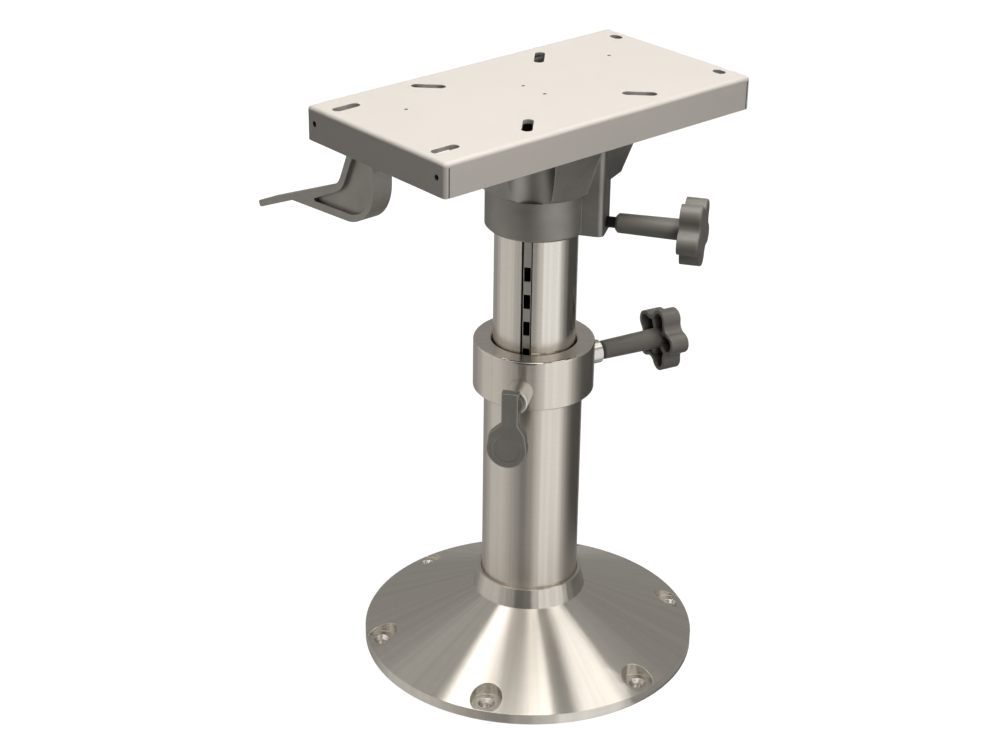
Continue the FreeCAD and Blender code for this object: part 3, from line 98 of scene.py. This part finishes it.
# %% [markdown]
# ### Painted shade in slots and holes
#
# A slot, a screw hole or the cored back of a knob is dark inside, because little light gets in.
# That shade is painted into the colour here. An ambient occlusion node looks round each point for
# walls within a reach, and gives the open share of what it sees. The colour is darkened by that
# share.


# %% Painted shade in hollows
def paint_shade_in_hollows(tree, colour, reach_mm, darkest, closed=0.25, opened=0.75):
    """Paint shade into a colour: to its darkest below the closed share, not at all above the opened
    one.
    """
    around = add(tree, "ShaderNodeAmbientOcclusion", {"samples": 8}, Distance=reach_mm * MM)
    share = add(tree, "ShaderNodeMapRange", Value=around.outputs["AO"],
                From_Min=closed, From_Max=opened, To_Min=darkest, To_Max=1.0)
    grey = add(tree, "ShaderNodeCombineColor", Red=share.outputs[0],
               Green=share.outputs[0], Blue=share.outputs[0])
    return add(tree, "ShaderNodeMix", {"data_type": "RGBA", "blend_type": "MULTIPLY"},
               _0=1.0, _6=colour.outputs[2], _7=grey.outputs[0])


# Hollows get painted shade, darker where walls stand close round them.
print("hollows are shaded by the walls round them")

# %% [markdown]
# ## Satin aluminium
#
# The base, column, collar and post are aluminium that was turned on a lathe and rubbed with an
# abrasive pad while it spun. The fine lines run round the axis. Noise draws them in turned
# coordinates: distance from the axis, height, and the angle, slowed down so that a line is long
# round the turn and thin across it. The real lines are about 0.1 mm apart, too fine for this
# picture, so they are drawn at 0.5 mm. The pad's uneven rub adds faint streaks, which change only
# with the angle.

# %% Lathe lines and pad streaks
LINE_MM = 0.5
DRIFT_MM_PER_TURN = 6.0
STREAKS_PER_RADIAN = 15


def from_axis(tree):
    """The split object coordinates and the distance from the Z axis."""
    place = add(tree, "ShaderNodeTexCoord")
    parts = add(tree, "ShaderNodeSeparateXYZ", Vector=place.outputs["Object"])
    flat = add(tree, "ShaderNodeCombineXYZ", X=parts.outputs["X"], Y=parts.outputs["Y"])
    radius = add(tree, "ShaderNodeVectorMath", {"operation": "LENGTH"}, _0=flat.outputs[0])
    return parts, radius.outputs["Value"]


def lathe_lines(tree):
    """Noise that is stretched round the Z axis: fine along Z and radius, long round the turn."""
    parts, radius = from_axis(tree)
    turn = add(tree, "ShaderNodeMath", {"operation": "ARCTAN2"},
               _0=parts.outputs["Y"], _1=parts.outputs["X"])
    slow = add(tree, "ShaderNodeMath", {"operation": "MULTIPLY"},
               _0=turn.outputs[0], _1=DRIFT_MM_PER_TURN / 1000 / math.tau)
    around = add(tree, "ShaderNodeCombineXYZ", X=radius, Y=slow.outputs[0], Z=parts.outputs["Z"])
    return add(tree, "ShaderNodeTexNoise", Vector=around.outputs[0],
               Scale=per_metre(LINE_MM), Detail=3.0, Roughness=0.6)


def pad_streaks(tree):
    """Noise that changes only with the turn round the axis."""
    place = add(tree, "ShaderNodeTexCoord")
    flat = add(tree, "ShaderNodeVectorMath", {"operation": "MULTIPLY"},
               _0=place.outputs["Object"], _1=(1, 1, 0))
    around = add(tree, "ShaderNodeVectorMath", {"operation": "NORMALIZE"}, _0=flat.outputs[0])
    return add(tree, "ShaderNodeTexNoise", Vector=around.outputs[0], Scale=STREAKS_PER_RADIAN,
               Detail=3.0, Roughness=0.55)


print("lathe lines", LINE_MM, "mm apart")

# %% [markdown]
# ### The post's groove and the collar's edge
#
# The post's long groove was milled after the post was polished. Its floor is a plain cutter finish.
# Its walls and the inside of the post get little light, and that shade is painted into their colour
# as nearly black. The depth below the post's outside tells the shader which of these it is on.
#
# The rounded upper edge of the collar was run over once more with a fine pad, so it draws a thin
# bright line. The shader finds it by the normal: only there does the surface tilt between upright
# and level.

# %% Groove finish with painted shade, and bright edge
# Each row: depth in mm from which it holds, colour, roughness. Walls, groove floor, inside.
# The nearly black colours of the walls and the inside are painted shade.
GROOVE_FINISH_AND_PAINTED_SHADE = [(0.3, "#2b2927", 0.45), (1.85, "#e4ded5", 0.28), (3.1, "#181716", 0.60)]
UPRIGHT_BELOW = 0.15
LEVEL_ABOVE = 0.97
EDGE_ROUGHNESS = 0.08


def groove_finish_and_painted_shade(tree, colour, rough):
    """Swap colour and roughness for those of the groove and of the inside; the dark ones are painted
    shade.
    """
    low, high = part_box("height_post")
    post_radius = (high[0] - low[0]) / 2
    radius = from_axis(tree)[1]
    for depth_mm, shade, roughness in GROOVE_FINISH_AND_PAINTED_SHADE:
        inside = add(tree, "ShaderNodeMath", {"operation": "LESS_THAN"},
                     _0=radius, _1=post_radius - depth_mm * MM)
        colour = add(tree, "ShaderNodeMix", {"data_type": "RGBA"},
                     _0=inside.outputs[0], _6=colour.outputs[2], _7=linear(shade))
        rough = add(tree, "ShaderNodeMix", {"data_type": "FLOAT"},
                    _0=inside.outputs[0], _2=rough.outputs[0], _3=roughness)
    return colour, rough


def polished_edges(tree, rough):
    """Less roughness where the surface tilts between upright and level."""
    geometry = add(tree, "ShaderNodeNewGeometry")
    tilt = add(tree, "ShaderNodeSeparateXYZ", Vector=geometry.outputs["Normal"])
    leaning = add(tree, "ShaderNodeMath", {"operation": "GREATER_THAN"},
                  _0=tilt.outputs["Z"], _1=UPRIGHT_BELOW)
    not_level = add(tree, "ShaderNodeMath", {"operation": "LESS_THAN"},
                    _0=tilt.outputs["Z"], _1=LEVEL_ABOVE)
    on_edge = add(tree, "ShaderNodeMath", {"operation": "MULTIPLY"},
                  _0=leaning.outputs[0], _1=not_level.outputs[0])
    return add(tree, "ShaderNodeMix", {"data_type": "FLOAT"},
               _0=on_edge.outputs[0], _2=rough.outputs[0], _3=EDGE_ROUGHNESS)


print("groove finishes", len(GROOVE_FINISH_AND_PAINTED_SHADE))

# %% [markdown]
# ### The metal itself
#
# The lines run round the axis, so a light stretches across them: into a bright band along the tube,
# and into a fan of rays on the cone. An anisotropic metal whose tangent runs round the axis does
# exactly that, where a plain rough metal would only blur the light. A bevel node rounds the sharp
# edges for the light alone, so they catch a line of it. The post is polished further than the rest.

# %% Satin aluminium material
METAL_CLOUD_MM = 35
STREAK_WEIGHT = 2.0
LINE_WOBBLE = 0.03
CLOUD_WOBBLE = 0.015


def satin_aluminium(name, dark, pale, roughness, spread, edge_mm, groove=False, bright_edge=False):
    """Metal that was turned and rubbed round the Z axis."""
    material, tree = new_material(name)
    lines = lathe_lines(tree)
    place = add(tree, "ShaderNodeTexCoord")
    cloud = add(tree, "ShaderNodeTexNoise", Vector=place.outputs["Object"],
                Scale=per_metre(METAL_CLOUD_MM), Detail=2.0)
    streaks = pad_streaks(tree)
    mixed = add(tree, "ShaderNodeMath", {"operation": "MULTIPLY_ADD"},
                _0=streaks.outputs["Fac"], _1=STREAK_WEIGHT, _2=lines.outputs["Fac"])
    tone = add(tree, "ShaderNodeMapRange", Value=mixed.outputs[0], From_Min=1.05, From_Max=1.95)
    colour = add(tree, "ShaderNodeMix", {"data_type": "RGBA"},
                 _0=tone.outputs[0], _6=linear(dark), _7=linear(pale))
    fine = add(tree, "ShaderNodeMapRange", Value=lines.outputs["Fac"],
               To_Min=roughness - LINE_WOBBLE, To_Max=roughness + LINE_WOBBLE)
    soft = add(tree, "ShaderNodeMapRange", Value=cloud.outputs["Fac"],
               To_Min=-CLOUD_WOBBLE, To_Max=CLOUD_WOBBLE)
    rough = add(tree, "ShaderNodeMath", {"operation": "ADD"},
                _0=fine.outputs[0], _1=soft.outputs[0])
    edge = add(tree, "ShaderNodeBevel", {"samples": 6}, Radius=edge_mm * MM)
    bump = add(tree, "ShaderNodeBump", Strength=0.12, Distance=0.05 * MM,
               Height=lines.outputs["Fac"], Normal=edge.outputs[0])
    if groove:
        colour, rough = groove_finish_and_painted_shade(tree, colour, rough)
    if bright_edge:
        rough = polished_edges(tree, rough)
    shader = add(tree, "ShaderNodeBsdfPrincipled", Base_Color=colour.outputs[2],
                 Metallic=1.0, Roughness=rough.outputs[0], Normal=bump.outputs[0],
                 Anisotropic=spread, Anisotropic_Rotation=0.25)
    tangent = add(tree, "ShaderNodeTangent", {"direction_type": "RADIAL", "axis": "Z"})
    tree.links.new(tangent.outputs[0], shader.inputs["Tangent"])
    finish_material(tree, shader)
    return material


base_metal = satin_aluminium("spun_aluminium_base", "#d0cac1", "#dcd7ce",
                             roughness=0.24, spread=1.0, edge_mm=0.8)
tube_metal = satin_aluminium("turned_aluminium_tube", "#d3ccc2", "#dfd9d0",
                             roughness=0.29, spread=0.9, edge_mm=0.4, bright_edge=True)
post_metal = satin_aluminium("polished_aluminium_post", "#d6d0c7", "#e1dcd3",
                             roughness=0.21, spread=0.8, edge_mm=0.5, groove=True)
print("turned aluminium:", base_metal.name, tube_metal.name, post_metal.name)

# %% [markdown]
# ## Cast aluminium
#
# The swivel head and both levers are die cast and tumbled. They are the same metal, but the skin
# has a fine pebble and a duller, darker grey, so highlights are broad and soft. Two noises make
# the grain: a pebble that shows as bump, and a slow 18 mm cloud in the colour. The real pebble is
# finer than this picture can show, so it is drawn at 0.7 mm.

# %% Cast aluminium material
PEBBLE_MM = 0.7
CAST_CLOUD_MM = 18
PEBBLE_WEIGHT = 0.45
PEBBLE_WOBBLE = 0.07


def cast_aluminium(name, dark, pale, roughness, edge_mm):
    """Metal with the skin of a tumbled casting, and painted shade in its hollows."""
    material, tree = new_material(name)
    place = add(tree, "ShaderNodeTexCoord")
    pebble = add(tree, "ShaderNodeTexNoise", Vector=place.outputs["Object"],
                 Scale=per_metre(PEBBLE_MM), Detail=3.0)
    cloud = add(tree, "ShaderNodeTexNoise", Vector=place.outputs["Object"],
                Scale=per_metre(CAST_CLOUD_MM), Detail=3.0)
    mixed = add(tree, "ShaderNodeMath", {"operation": "MULTIPLY_ADD"},
                _0=pebble.outputs["Fac"], _1=PEBBLE_WEIGHT, _2=cloud.outputs["Fac"])
    tone = add(tree, "ShaderNodeMapRange", Value=mixed.outputs[0], From_Min=0.4, From_Max=1.05)
    colour = add(tree, "ShaderNodeMix", {"data_type": "RGBA"},
                 _0=tone.outputs[0], _6=linear(dark), _7=linear(pale))
    # Painted shade: the colour darkens in hollows and between close walls.
    colour = paint_shade_in_hollows(tree, colour, reach_mm=6.0, darkest=0.45)
    rough = add(tree, "ShaderNodeMapRange", Value=pebble.outputs["Fac"],
                To_Min=roughness - PEBBLE_WOBBLE, To_Max=roughness + PEBBLE_WOBBLE)
    edge = add(tree, "ShaderNodeBevel", {"samples": 6}, Radius=edge_mm * MM)
    bump = add(tree, "ShaderNodeBump", Strength=0.3, Distance=0.12 * MM,
               Height=pebble.outputs["Fac"], Normal=edge.outputs[0])
    shader = add(tree, "ShaderNodeBsdfPrincipled", Base_Color=colour.outputs[2],
                 Metallic=0.85, Roughness=rough.outputs[0], Normal=bump.outputs[0])
    finish_material(tree, shader)
    return material


head_metal = cast_aluminium("cast_aluminium_head", "#8d8a85", "#a3a09a", 0.44, 0.9)
lever_metal = cast_aluminium("cast_aluminium_lever", "#93908a", "#a4a19b", 0.46, 0.7)
print("cast aluminium:", head_metal.name, lever_metal.name)

# %% [markdown]
# ## Powder coat
#
# The seat plate is folded steel with a baked powder coat. Powder melts into a smooth skin with a
# faint orange peel about 2 mm across. It is a dielectric: full colour, no metal, and a soft gloss.
# The painted hollow shade sets in early here, because the sheet is thin and its slots are open below.

# %% Powder coat material
PEEL_MM = 2.2
PAINT_CLOUD_MM = 60


def powder_coat(name, dark, pale):
    """Baked paint with a faint orange peel, and painted shade in its slots."""
    material, tree = new_material(name)
    place = add(tree, "ShaderNodeTexCoord")
    peel = add(tree, "ShaderNodeTexNoise", Vector=place.outputs["Object"],
               Scale=per_metre(PEEL_MM), Detail=2.0)
    cloud = add(tree, "ShaderNodeTexNoise", Vector=place.outputs["Object"],
                Scale=per_metre(PAINT_CLOUD_MM), Detail=2.0)
    colour = add(tree, "ShaderNodeMix", {"data_type": "RGBA"},
                 _0=cloud.outputs["Fac"], _6=linear(dark), _7=linear(pale))
    # Painted shade: the slots and the inside of the folded edges go dark.
    colour = paint_shade_in_hollows(tree, colour, reach_mm=9.0, darkest=0.10, closed=0.60, opened=0.95)
    rough = add(tree, "ShaderNodeMapRange", Value=peel.outputs["Fac"], To_Min=0.32, To_Max=0.44)
    bump = add(tree, "ShaderNodeBump", Strength=0.15, Distance=0.08 * MM,
               Height=peel.outputs["Fac"])
    shader = add(tree, "ShaderNodeBsdfPrincipled", Base_Color=colour.outputs[2],
                 Roughness=rough.outputs[0], IOR=1.5, Normal=bump.outputs[0])
    finish_material(tree, shader)
    return material


plate_paint = powder_coat("powder_coat_ivory", "#efe9e1", "#f4eee7")
print("paint:", plate_paint.name)

# %% [markdown]
# ## Moulded knobs, steel and nylon
#
# The star knobs are moulded from glass-filled nylon in metallic grey: a plastic with a fine spark
# texture. Small steel parts are zinc plated, one stud is blackened, and the two bosses are turned
# bright. Strips and bushings are natural nylon. All of these are small plain pieces with one even
# grain, so one function makes them, and the numbers say which is metal.

# %% Plain small-part materials
GRAIN_WOBBLE = 0.05
SMALL_EDGE_MM = 0.5


def small_part_finish(name, dark, pale, roughness, grain_mm, metallic=0.0, painted_shade_reach_mm=2.0):
    """An even finish with one grain, and painted shade in its hollows."""
    material, tree = new_material(name)
    place = add(tree, "ShaderNodeTexCoord")
    grain = add(tree, "ShaderNodeTexNoise", Vector=place.outputs["Object"],
                Scale=per_metre(grain_mm), Detail=3.0)
    colour = add(tree, "ShaderNodeMix", {"data_type": "RGBA"},
                 _0=grain.outputs["Fac"], _6=linear(dark), _7=linear(pale))
    # Painted shade: the colour darkens in hollows within the given reach.
    colour = paint_shade_in_hollows(tree, colour, painted_shade_reach_mm, darkest=0.12)
    rough = add(tree, "ShaderNodeMapRange", Value=grain.outputs["Fac"],
                To_Min=roughness - GRAIN_WOBBLE, To_Max=roughness + GRAIN_WOBBLE)
    edge = add(tree, "ShaderNodeBevel", {"samples": 6}, Radius=SMALL_EDGE_MM * MM)
    bump = add(tree, "ShaderNodeBump", Strength=0.2, Distance=0.06 * MM,
               Height=grain.outputs["Fac"], Normal=edge.outputs[0])
    shader = add(tree, "ShaderNodeBsdfPrincipled", Base_Color=colour.outputs[2],
                 Metallic=metallic, Roughness=rough.outputs[0], Normal=bump.outputs[0])
    finish_material(tree, shader)
    return material


# The knobs' cored backs and the zinc parts under the plate get painted shade that reaches far.
knob_plastic = small_part_finish("glass_filled_nylon_grey", "#817e78", "#8d8a84", 0.42,
                                 grain_mm=0.6, painted_shade_reach_mm=11.0)
zinc_steel = small_part_finish("zinc_plated_steel", "#9b9a96", "#b0aeaa", 0.38,
                               grain_mm=1.2, metallic=1.0, painted_shade_reach_mm=10.0)
bright_steel = small_part_finish("turned_bright_steel", "#cfccc7", "#dedbd6", 0.22,
                                 grain_mm=0.8, metallic=1.0)
black_steel = small_part_finish("blackened_steel", "#171717", "#232221", 0.40,
                                grain_mm=0.8, metallic=0.6)
nylon = small_part_finish("natural_nylon", "#dedbd2", "#e8e5dc", 0.50, grain_mm=1.5)
print("small parts:", knob_plastic.name, zinc_steel.name, bright_steel.name, black_steel.name,
      nylon.name)

# %% [markdown]
# ## Dress the solids
#
# Each CAD node keeps its mesh and gets its finish here. A table by finish is easier to check
# against the photograph than one line for each node.

# %% Give every node its finish
finishes = {
    base_metal: ["base_flange"],
    tube_metal: ["column_tube", "column_collar"],
    post_metal: ["height_post"],
    head_metal: ["swivel_head"],
    lever_metal: ["height_lever", "slide_lever"],
    plate_paint: ["seat_plate"],
    knob_plastic: ["swivel_knob", "clamp_knob"],
    bright_steel: ["lever_boss", "clamp_boss"],
    black_steel: ["swivel_stud"],
    zinc_steel: ["lock_pin", "clamp_stud", "slide_base", "head_screws", "slide_rack",
                 "rail_front", "rail_back", "slide_stops", "shaft_brackets", "lever_shaft",
                 "slide_pawl"],
    nylon: ["guide_sleeve", "swivel_bushing", "thrust_washer", "glide_strip_front",
            "glide_strip_back"],
}
for material, names in finishes.items():
    for name in names:
        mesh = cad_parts[name].data
        mesh.materials.clear()
        mesh.materials.append(material)
dressed = sum(len(names) for names in finishes.values())
print("dressed", dressed, "of", len(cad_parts), "nodes")

# %% [markdown]
# ## Floor and studio
#
# The object stands on a plain white floor before a white background. Both are white in the picture
# because they glow for camera rays, and for rays that metal or glass sends on, not because more
# light falls on the object. A light path node tells these rays from the rest. The lamps add a
# little to the floor's glow near the object, so it still throws a soft shadow there. Further out,
# where they hardly reach, the floor glows a little more instead.

# %% Floor
FLOOR_HALF = 6.0
FLOOR_Z = -0.5 * MM
NEAR_DISTANCE = 0.5
FAR_DISTANCE = 1.8
NEAR_GLOW = 0.90
FAR_GLOW = 1.0


def seen_or_mirrored(tree):
    """One for camera rays and for rays that metal or glass sends on, else zero."""
    path = add(tree, "ShaderNodeLightPath")
    mirrored = add(tree, "ShaderNodeMath", {"operation": "MAXIMUM"},
                   _0=path.outputs["Is Glossy Ray"], _1=path.outputs["Is Transmission Ray"])
    return add(tree, "ShaderNodeMath", {"operation": "MAXIMUM"},
               _0=path.outputs["Is Camera Ray"], _1=mirrored.outputs[0])


floor_mesh = bpy.data.meshes.new("studio_floor")
floor_mesh.from_pydata([(-FLOOR_HALF, -FLOOR_HALF, 0), (FLOOR_HALF, -FLOOR_HALF, 0),
                        (FLOOR_HALF, FLOOR_HALF, 0), (-FLOOR_HALF, FLOOR_HALF, 0)],
                       [], [(0, 1, 2, 3)])
floor = bpy.data.objects.new("studio_floor", floor_mesh)
bpy.context.scene.collection.objects.link(floor)

floor_material, tree = new_material("white_floor")
lit = add(tree, "ShaderNodeBsdfDiffuse", Color=linear("#828282"))
place = add(tree, "ShaderNodeTexCoord")
away = add(tree, "ShaderNodeVectorMath", {"operation": "LENGTH"}, _0=place.outputs["Object"])
glow_level = add(tree, "ShaderNodeMapRange", Value=away.outputs["Value"],
                 From_Min=NEAR_DISTANCE, From_Max=FAR_DISTANCE,
                 To_Min=NEAR_GLOW, To_Max=FAR_GLOW)
glow = add(tree, "ShaderNodeEmission", Strength=glow_level.outputs[0])
both = add(tree, "ShaderNodeAddShader", _0=lit.outputs[0], _1=glow.outputs[0])
shader = add(tree, "ShaderNodeMixShader", _0=seen_or_mirrored(tree).outputs[0],
             _1=lit.outputs[0], _2=both.outputs[0])
finish_material(tree, shader)
floor_mesh.materials.append(floor_material)
floor.location.z = FLOOR_Z
floor.visible_glossy = False
floor.visible_diffuse = False
print("floor", 2 * FLOOR_HALF, "m wide")

# %% [markdown]
# ### White background
#
# The world is pure white for camera rays and mirrored rays. For the rest it is a faint warm light,
# so that hollows don't go fully black, and the lamps do the lighting.

# %% Background
AMBIENT = 0.04
world = bpy.data.worlds.new("studio")
bpy.context.scene.world = world
world.use_nodes = True
tree = world.node_tree
tree.nodes.clear()
ambient = add(tree, "ShaderNodeBackground", Color=linear("#fffaf4"), Strength=AMBIENT)
backdrop = add(tree, "ShaderNodeBackground", Color=(1, 1, 1, 1), Strength=1.0)
seen = add(tree, "ShaderNodeMixShader", _0=seen_or_mirrored(tree).outputs[0],
           _1=ambient.outputs[0], _2=backdrop.outputs[0])
add(tree, "ShaderNodeOutputWorld", Surface=seen.outputs[0])
print("background", world.name, "with ambient light", AMBIENT)

# %% [markdown]
# ### Screens that the metal mirrors
#
# Polished metal is only as good as what it reflects. In front of plain white it would be one flat
# grey, so a photographer stands grey and black screens round it. Here they are evenly glowing
# walls that only mirrored rays meet: 0 is black and 1 is white.

# %% Screen makers
SCREEN_RADIUS = 2.4
SCREEN_LOW = -4.0
SCREEN_TOP = 2.6
DEGREES_PER_STEP = 4


def only_mirrored(item):
    """Let nothing but mirrored rays meet a stage piece."""
    item.visible_camera = False
    item.visible_diffuse = False
    item.visible_shadow = False


def screen(name, glow, corners, faces):
    """A screen that glows evenly."""
    material, tree = new_material(name)
    light = add(tree, "ShaderNodeEmission", Color=linear("#fffdfa"), Strength=glow)
    finish_material(tree, light)
    mesh = bpy.data.meshes.new(name)
    mesh.from_pydata(corners, [], faces)
    mesh.materials.append(material)
    item = bpy.data.objects.new(name, mesh)
    bpy.context.scene.collection.objects.link(item)
    only_mirrored(item)
    return item


def round_the_axis(azimuth, radius, height):
    """A point at an azimuth in degrees, from the front (-Y) towards the right (+X)."""
    turned = math.radians(azimuth)
    return (math.sin(turned) * radius, -math.cos(turned) * radius, height)


def curved_screen(name, first, last, glow, radius=SCREEN_RADIUS, low=SCREEN_LOW, top=SCREEN_TOP):
    """A curved wall between two azimuths in degrees."""
    steps = max(2, round((last - first) / DEGREES_PER_STEP))
    corners = []
    for step in range(steps + 1):
        azimuth = first + (last - first) * step / steps
        corners += [round_the_axis(azimuth, radius, low), round_the_axis(azimuth, radius, top)]
    faces = [(2 * i, 2 * i + 2, 2 * i + 3, 2 * i + 1) for i in range(steps)]
    return screen(name, glow, corners, faces)


print("screens stand", SCREEN_RADIUS, "m from the axis")

# %% [markdown]
# ### Walls and ceiling
#
# Each wall covers a range of azimuth. The gap towards the front stays open and white, and draws the
# bright band along the tubes. The camera looks down on the tubes, so they mirror what lies below
# the deck's level. Two dark walls on the right end there, and the paler wall behind them is what
# the cone mirrors. A nearly black one on the camera's side stands for the dark room there.

# %% Walls and ceiling
WALLS = [("front_left_edge", -38, -22, 0.66), ("front_left", -52, -38, 0.50),
         ("left_dark", -72, -52, 0.31), ("left_edge", -86, -72, 0.38),
         ("left_grey", -102, -86, 0.5), ("left_pale", -154, -102, 0.68),
         ("back_left", -168, -154, 0.5), ("back", -190, -168, 0.34), ("right_edge", 31, 43, 0.55)]
BELOW_DECK = -0.25
CEILING_HALF = 3.0
CEILING_HEIGHT = 2.6
for name, first, last, glow in WALLS:
    curved_screen(name + "_screen", first, last, glow)
curved_screen("right_grey_screen", 43, 57, 0.24, top=BELOW_DECK)
curved_screen("right_dark_screen", 57, 112, 0.06, top=BELOW_DECK)
curved_screen("back_right_screen", 43, 170, 0.32, radius=2.7)
curved_screen("camera_side_screen", -70, -36, 0.07, radius=2.2, low=-0.45, top=1.6)
screen("ceiling_screen", 0.42,
       [(-CEILING_HALF, -CEILING_HALF, CEILING_HEIGHT), (CEILING_HALF, -CEILING_HALF, CEILING_HEIGHT),
        (CEILING_HALF, CEILING_HALF, CEILING_HEIGHT), (-CEILING_HALF, CEILING_HALF, CEILING_HEIGHT)],
       [(0, 1, 2, 3)])
print("walls of even height", len(WALLS), "and four others under one ceiling")

# %% [markdown]
# ### Ring beside the rim
#
# The turned rim of the base stands right on the white floor and mirrors it. A ring sector of grey
# beside the rim gives it that look on the right, where the walls are dark.

# %% Pale ring beside the rim
RING_INNER = 0.128
RING_OUTER = 0.165
RING_START = -2
RING_STEPS = 43
ring_corners = []
for step in range(RING_STEPS + 1):
    azimuth = RING_START + DEGREES_PER_STEP * step
    ring_corners += [round_the_axis(azimuth, RING_INNER, 0), round_the_axis(azimuth, RING_OUTER, 0)]
screen("rim_screen", 0.33, ring_corners,
       [(2 * i, 2 * i + 1, 2 * i + 3, 2 * i + 2) for i in range(RING_STEPS)])
print("ring covers", DEGREES_PER_STEP * RING_STEPS, "degrees")

# %% [markdown]
# ### Bright panels
#
# Four bright panels hang under the ceiling. Every radius of a spun cone mirrors one line across the
# ceiling, so a panel draws a wedge of light on the cone. The fill panel closes the gap between the
# back one and the middle one, so that their two wedges meet.

# %% Bright panels overhead
PANEL_HEIGHT = 2.3
PANELS = [
    ("back_panel", 2.7, [(-1.6, 0.55), (0.33, 1.32), (0.55, 0.72), (-0.45, -0.20), (-1.25, -0.62)]),
    ("middle_panel", 3.3, [(-0.88, -0.92), (0.56, 0.70), (0.76, 0.54), (-0.36, -1.16)]),
    ("right_panel", 1.9, [(0.08, -1.35), (0.85, 0.42), (1.42, 0.42), (1.36, -1.35)]),
    ("fill_panel", 2.6, [(-1.25, -0.62), (-0.45, -0.20), (0.55, 0.72), (0.56, 0.70),
                         (-0.88, -0.92)]),
]
for name, glow, corners in PANELS:
    screen(name, glow, [(x, y, PANEL_HEIGHT) for x, y in corners], [tuple(range(len(corners)))])
print("panels", len(PANELS))

# %% [markdown]
# ### Lamps
#
# A large softbox overhead and a smaller one at the front light the paint and the plastic, and a
# third keeps the back from going black. Metal doesn't mirror these three, because it already has
# the screens and panels.

# %% Soft lights
AIM_HEIGHT = 0.25


def soft_light(name, azimuth, height, distance, size, watts):
    """A square lamp that looks at the middle of the object."""
    lamp = bpy.data.lights.new(name, "AREA")
    lamp.size = size
    lamp.energy = watts
    lamp.color = linear("#fffdfa")[:3]
    item = bpy.data.objects.new(name, lamp)
    item.location = round_the_axis(azimuth, distance, height)
    towards = Vector((0, 0, AIM_HEIGHT)) - Vector(round_the_axis(azimuth, distance, height))
    item.rotation_euler = towards.to_track_quat("-Z", "Y").to_euler()
    item.visible_glossy = False
    bpy.context.scene.collection.objects.link(item)
    return item


soft_light("overhead_softbox", azimuth=20, height=2.4, distance=0.3, size=1.4, watts=40)
soft_light("front_softbox", azimuth=-17, height=0.75, distance=1.0, size=0.5, watts=2.7)
soft_light("back_softbox", azimuth=165, height=0.7, distance=1.3, size=0.6, watts=4)
print("softboxes", len(bpy.data.lights))

# %% [markdown]
# ## Camera
#
# The camera was worked out from the photograph: it stands about 1.6 m away, 26 degrees above the
# level and to the left of the front, with a long lens. It aims 22 cm up the axis and 2.5 cm to the
# left of it. Its axes are written as one rotation matrix.

# %% Camera
azimuth = math.radians(-41.392)
elevation = math.radians(26.170)
roll = math.radians(0.841)
distance = 1.5936
across = -0.0246
target_height = 0.2228
focal_pixels = 2151.676
picture_width = 1000
sensor_mm = 36.0

back = Vector((math.sin(azimuth) * math.cos(elevation), -math.cos(azimuth) * math.cos(elevation),
               math.sin(elevation)))
right = Vector((math.cos(azimuth), math.sin(azimuth), 0))
upward = back.cross(right)
camera_x = right * math.cos(roll) + upward * math.sin(roll)
camera_y = upward * math.cos(roll) - right * math.sin(roll)
camera_axes = Matrix((camera_x, camera_y, back)).transposed().to_4x4()
camera_place = Vector((0, 0, target_height)) + right * across + back * distance
camera_data = bpy.data.cameras.new("camera")
camera_data.sensor_width = sensor_mm
camera_data.lens = focal_pixels / picture_width * sensor_mm
camera = bpy.data.objects.new("camera", camera_data)
camera.matrix_world = Matrix.Translation(camera_place) @ camera_axes
bpy.context.scene.collection.objects.link(camera)
bpy.context.scene.camera = camera
bpy.context.scene.view_settings.view_transform = "Standard"
print("camera at", [round(c, 3) for c in camera_place])
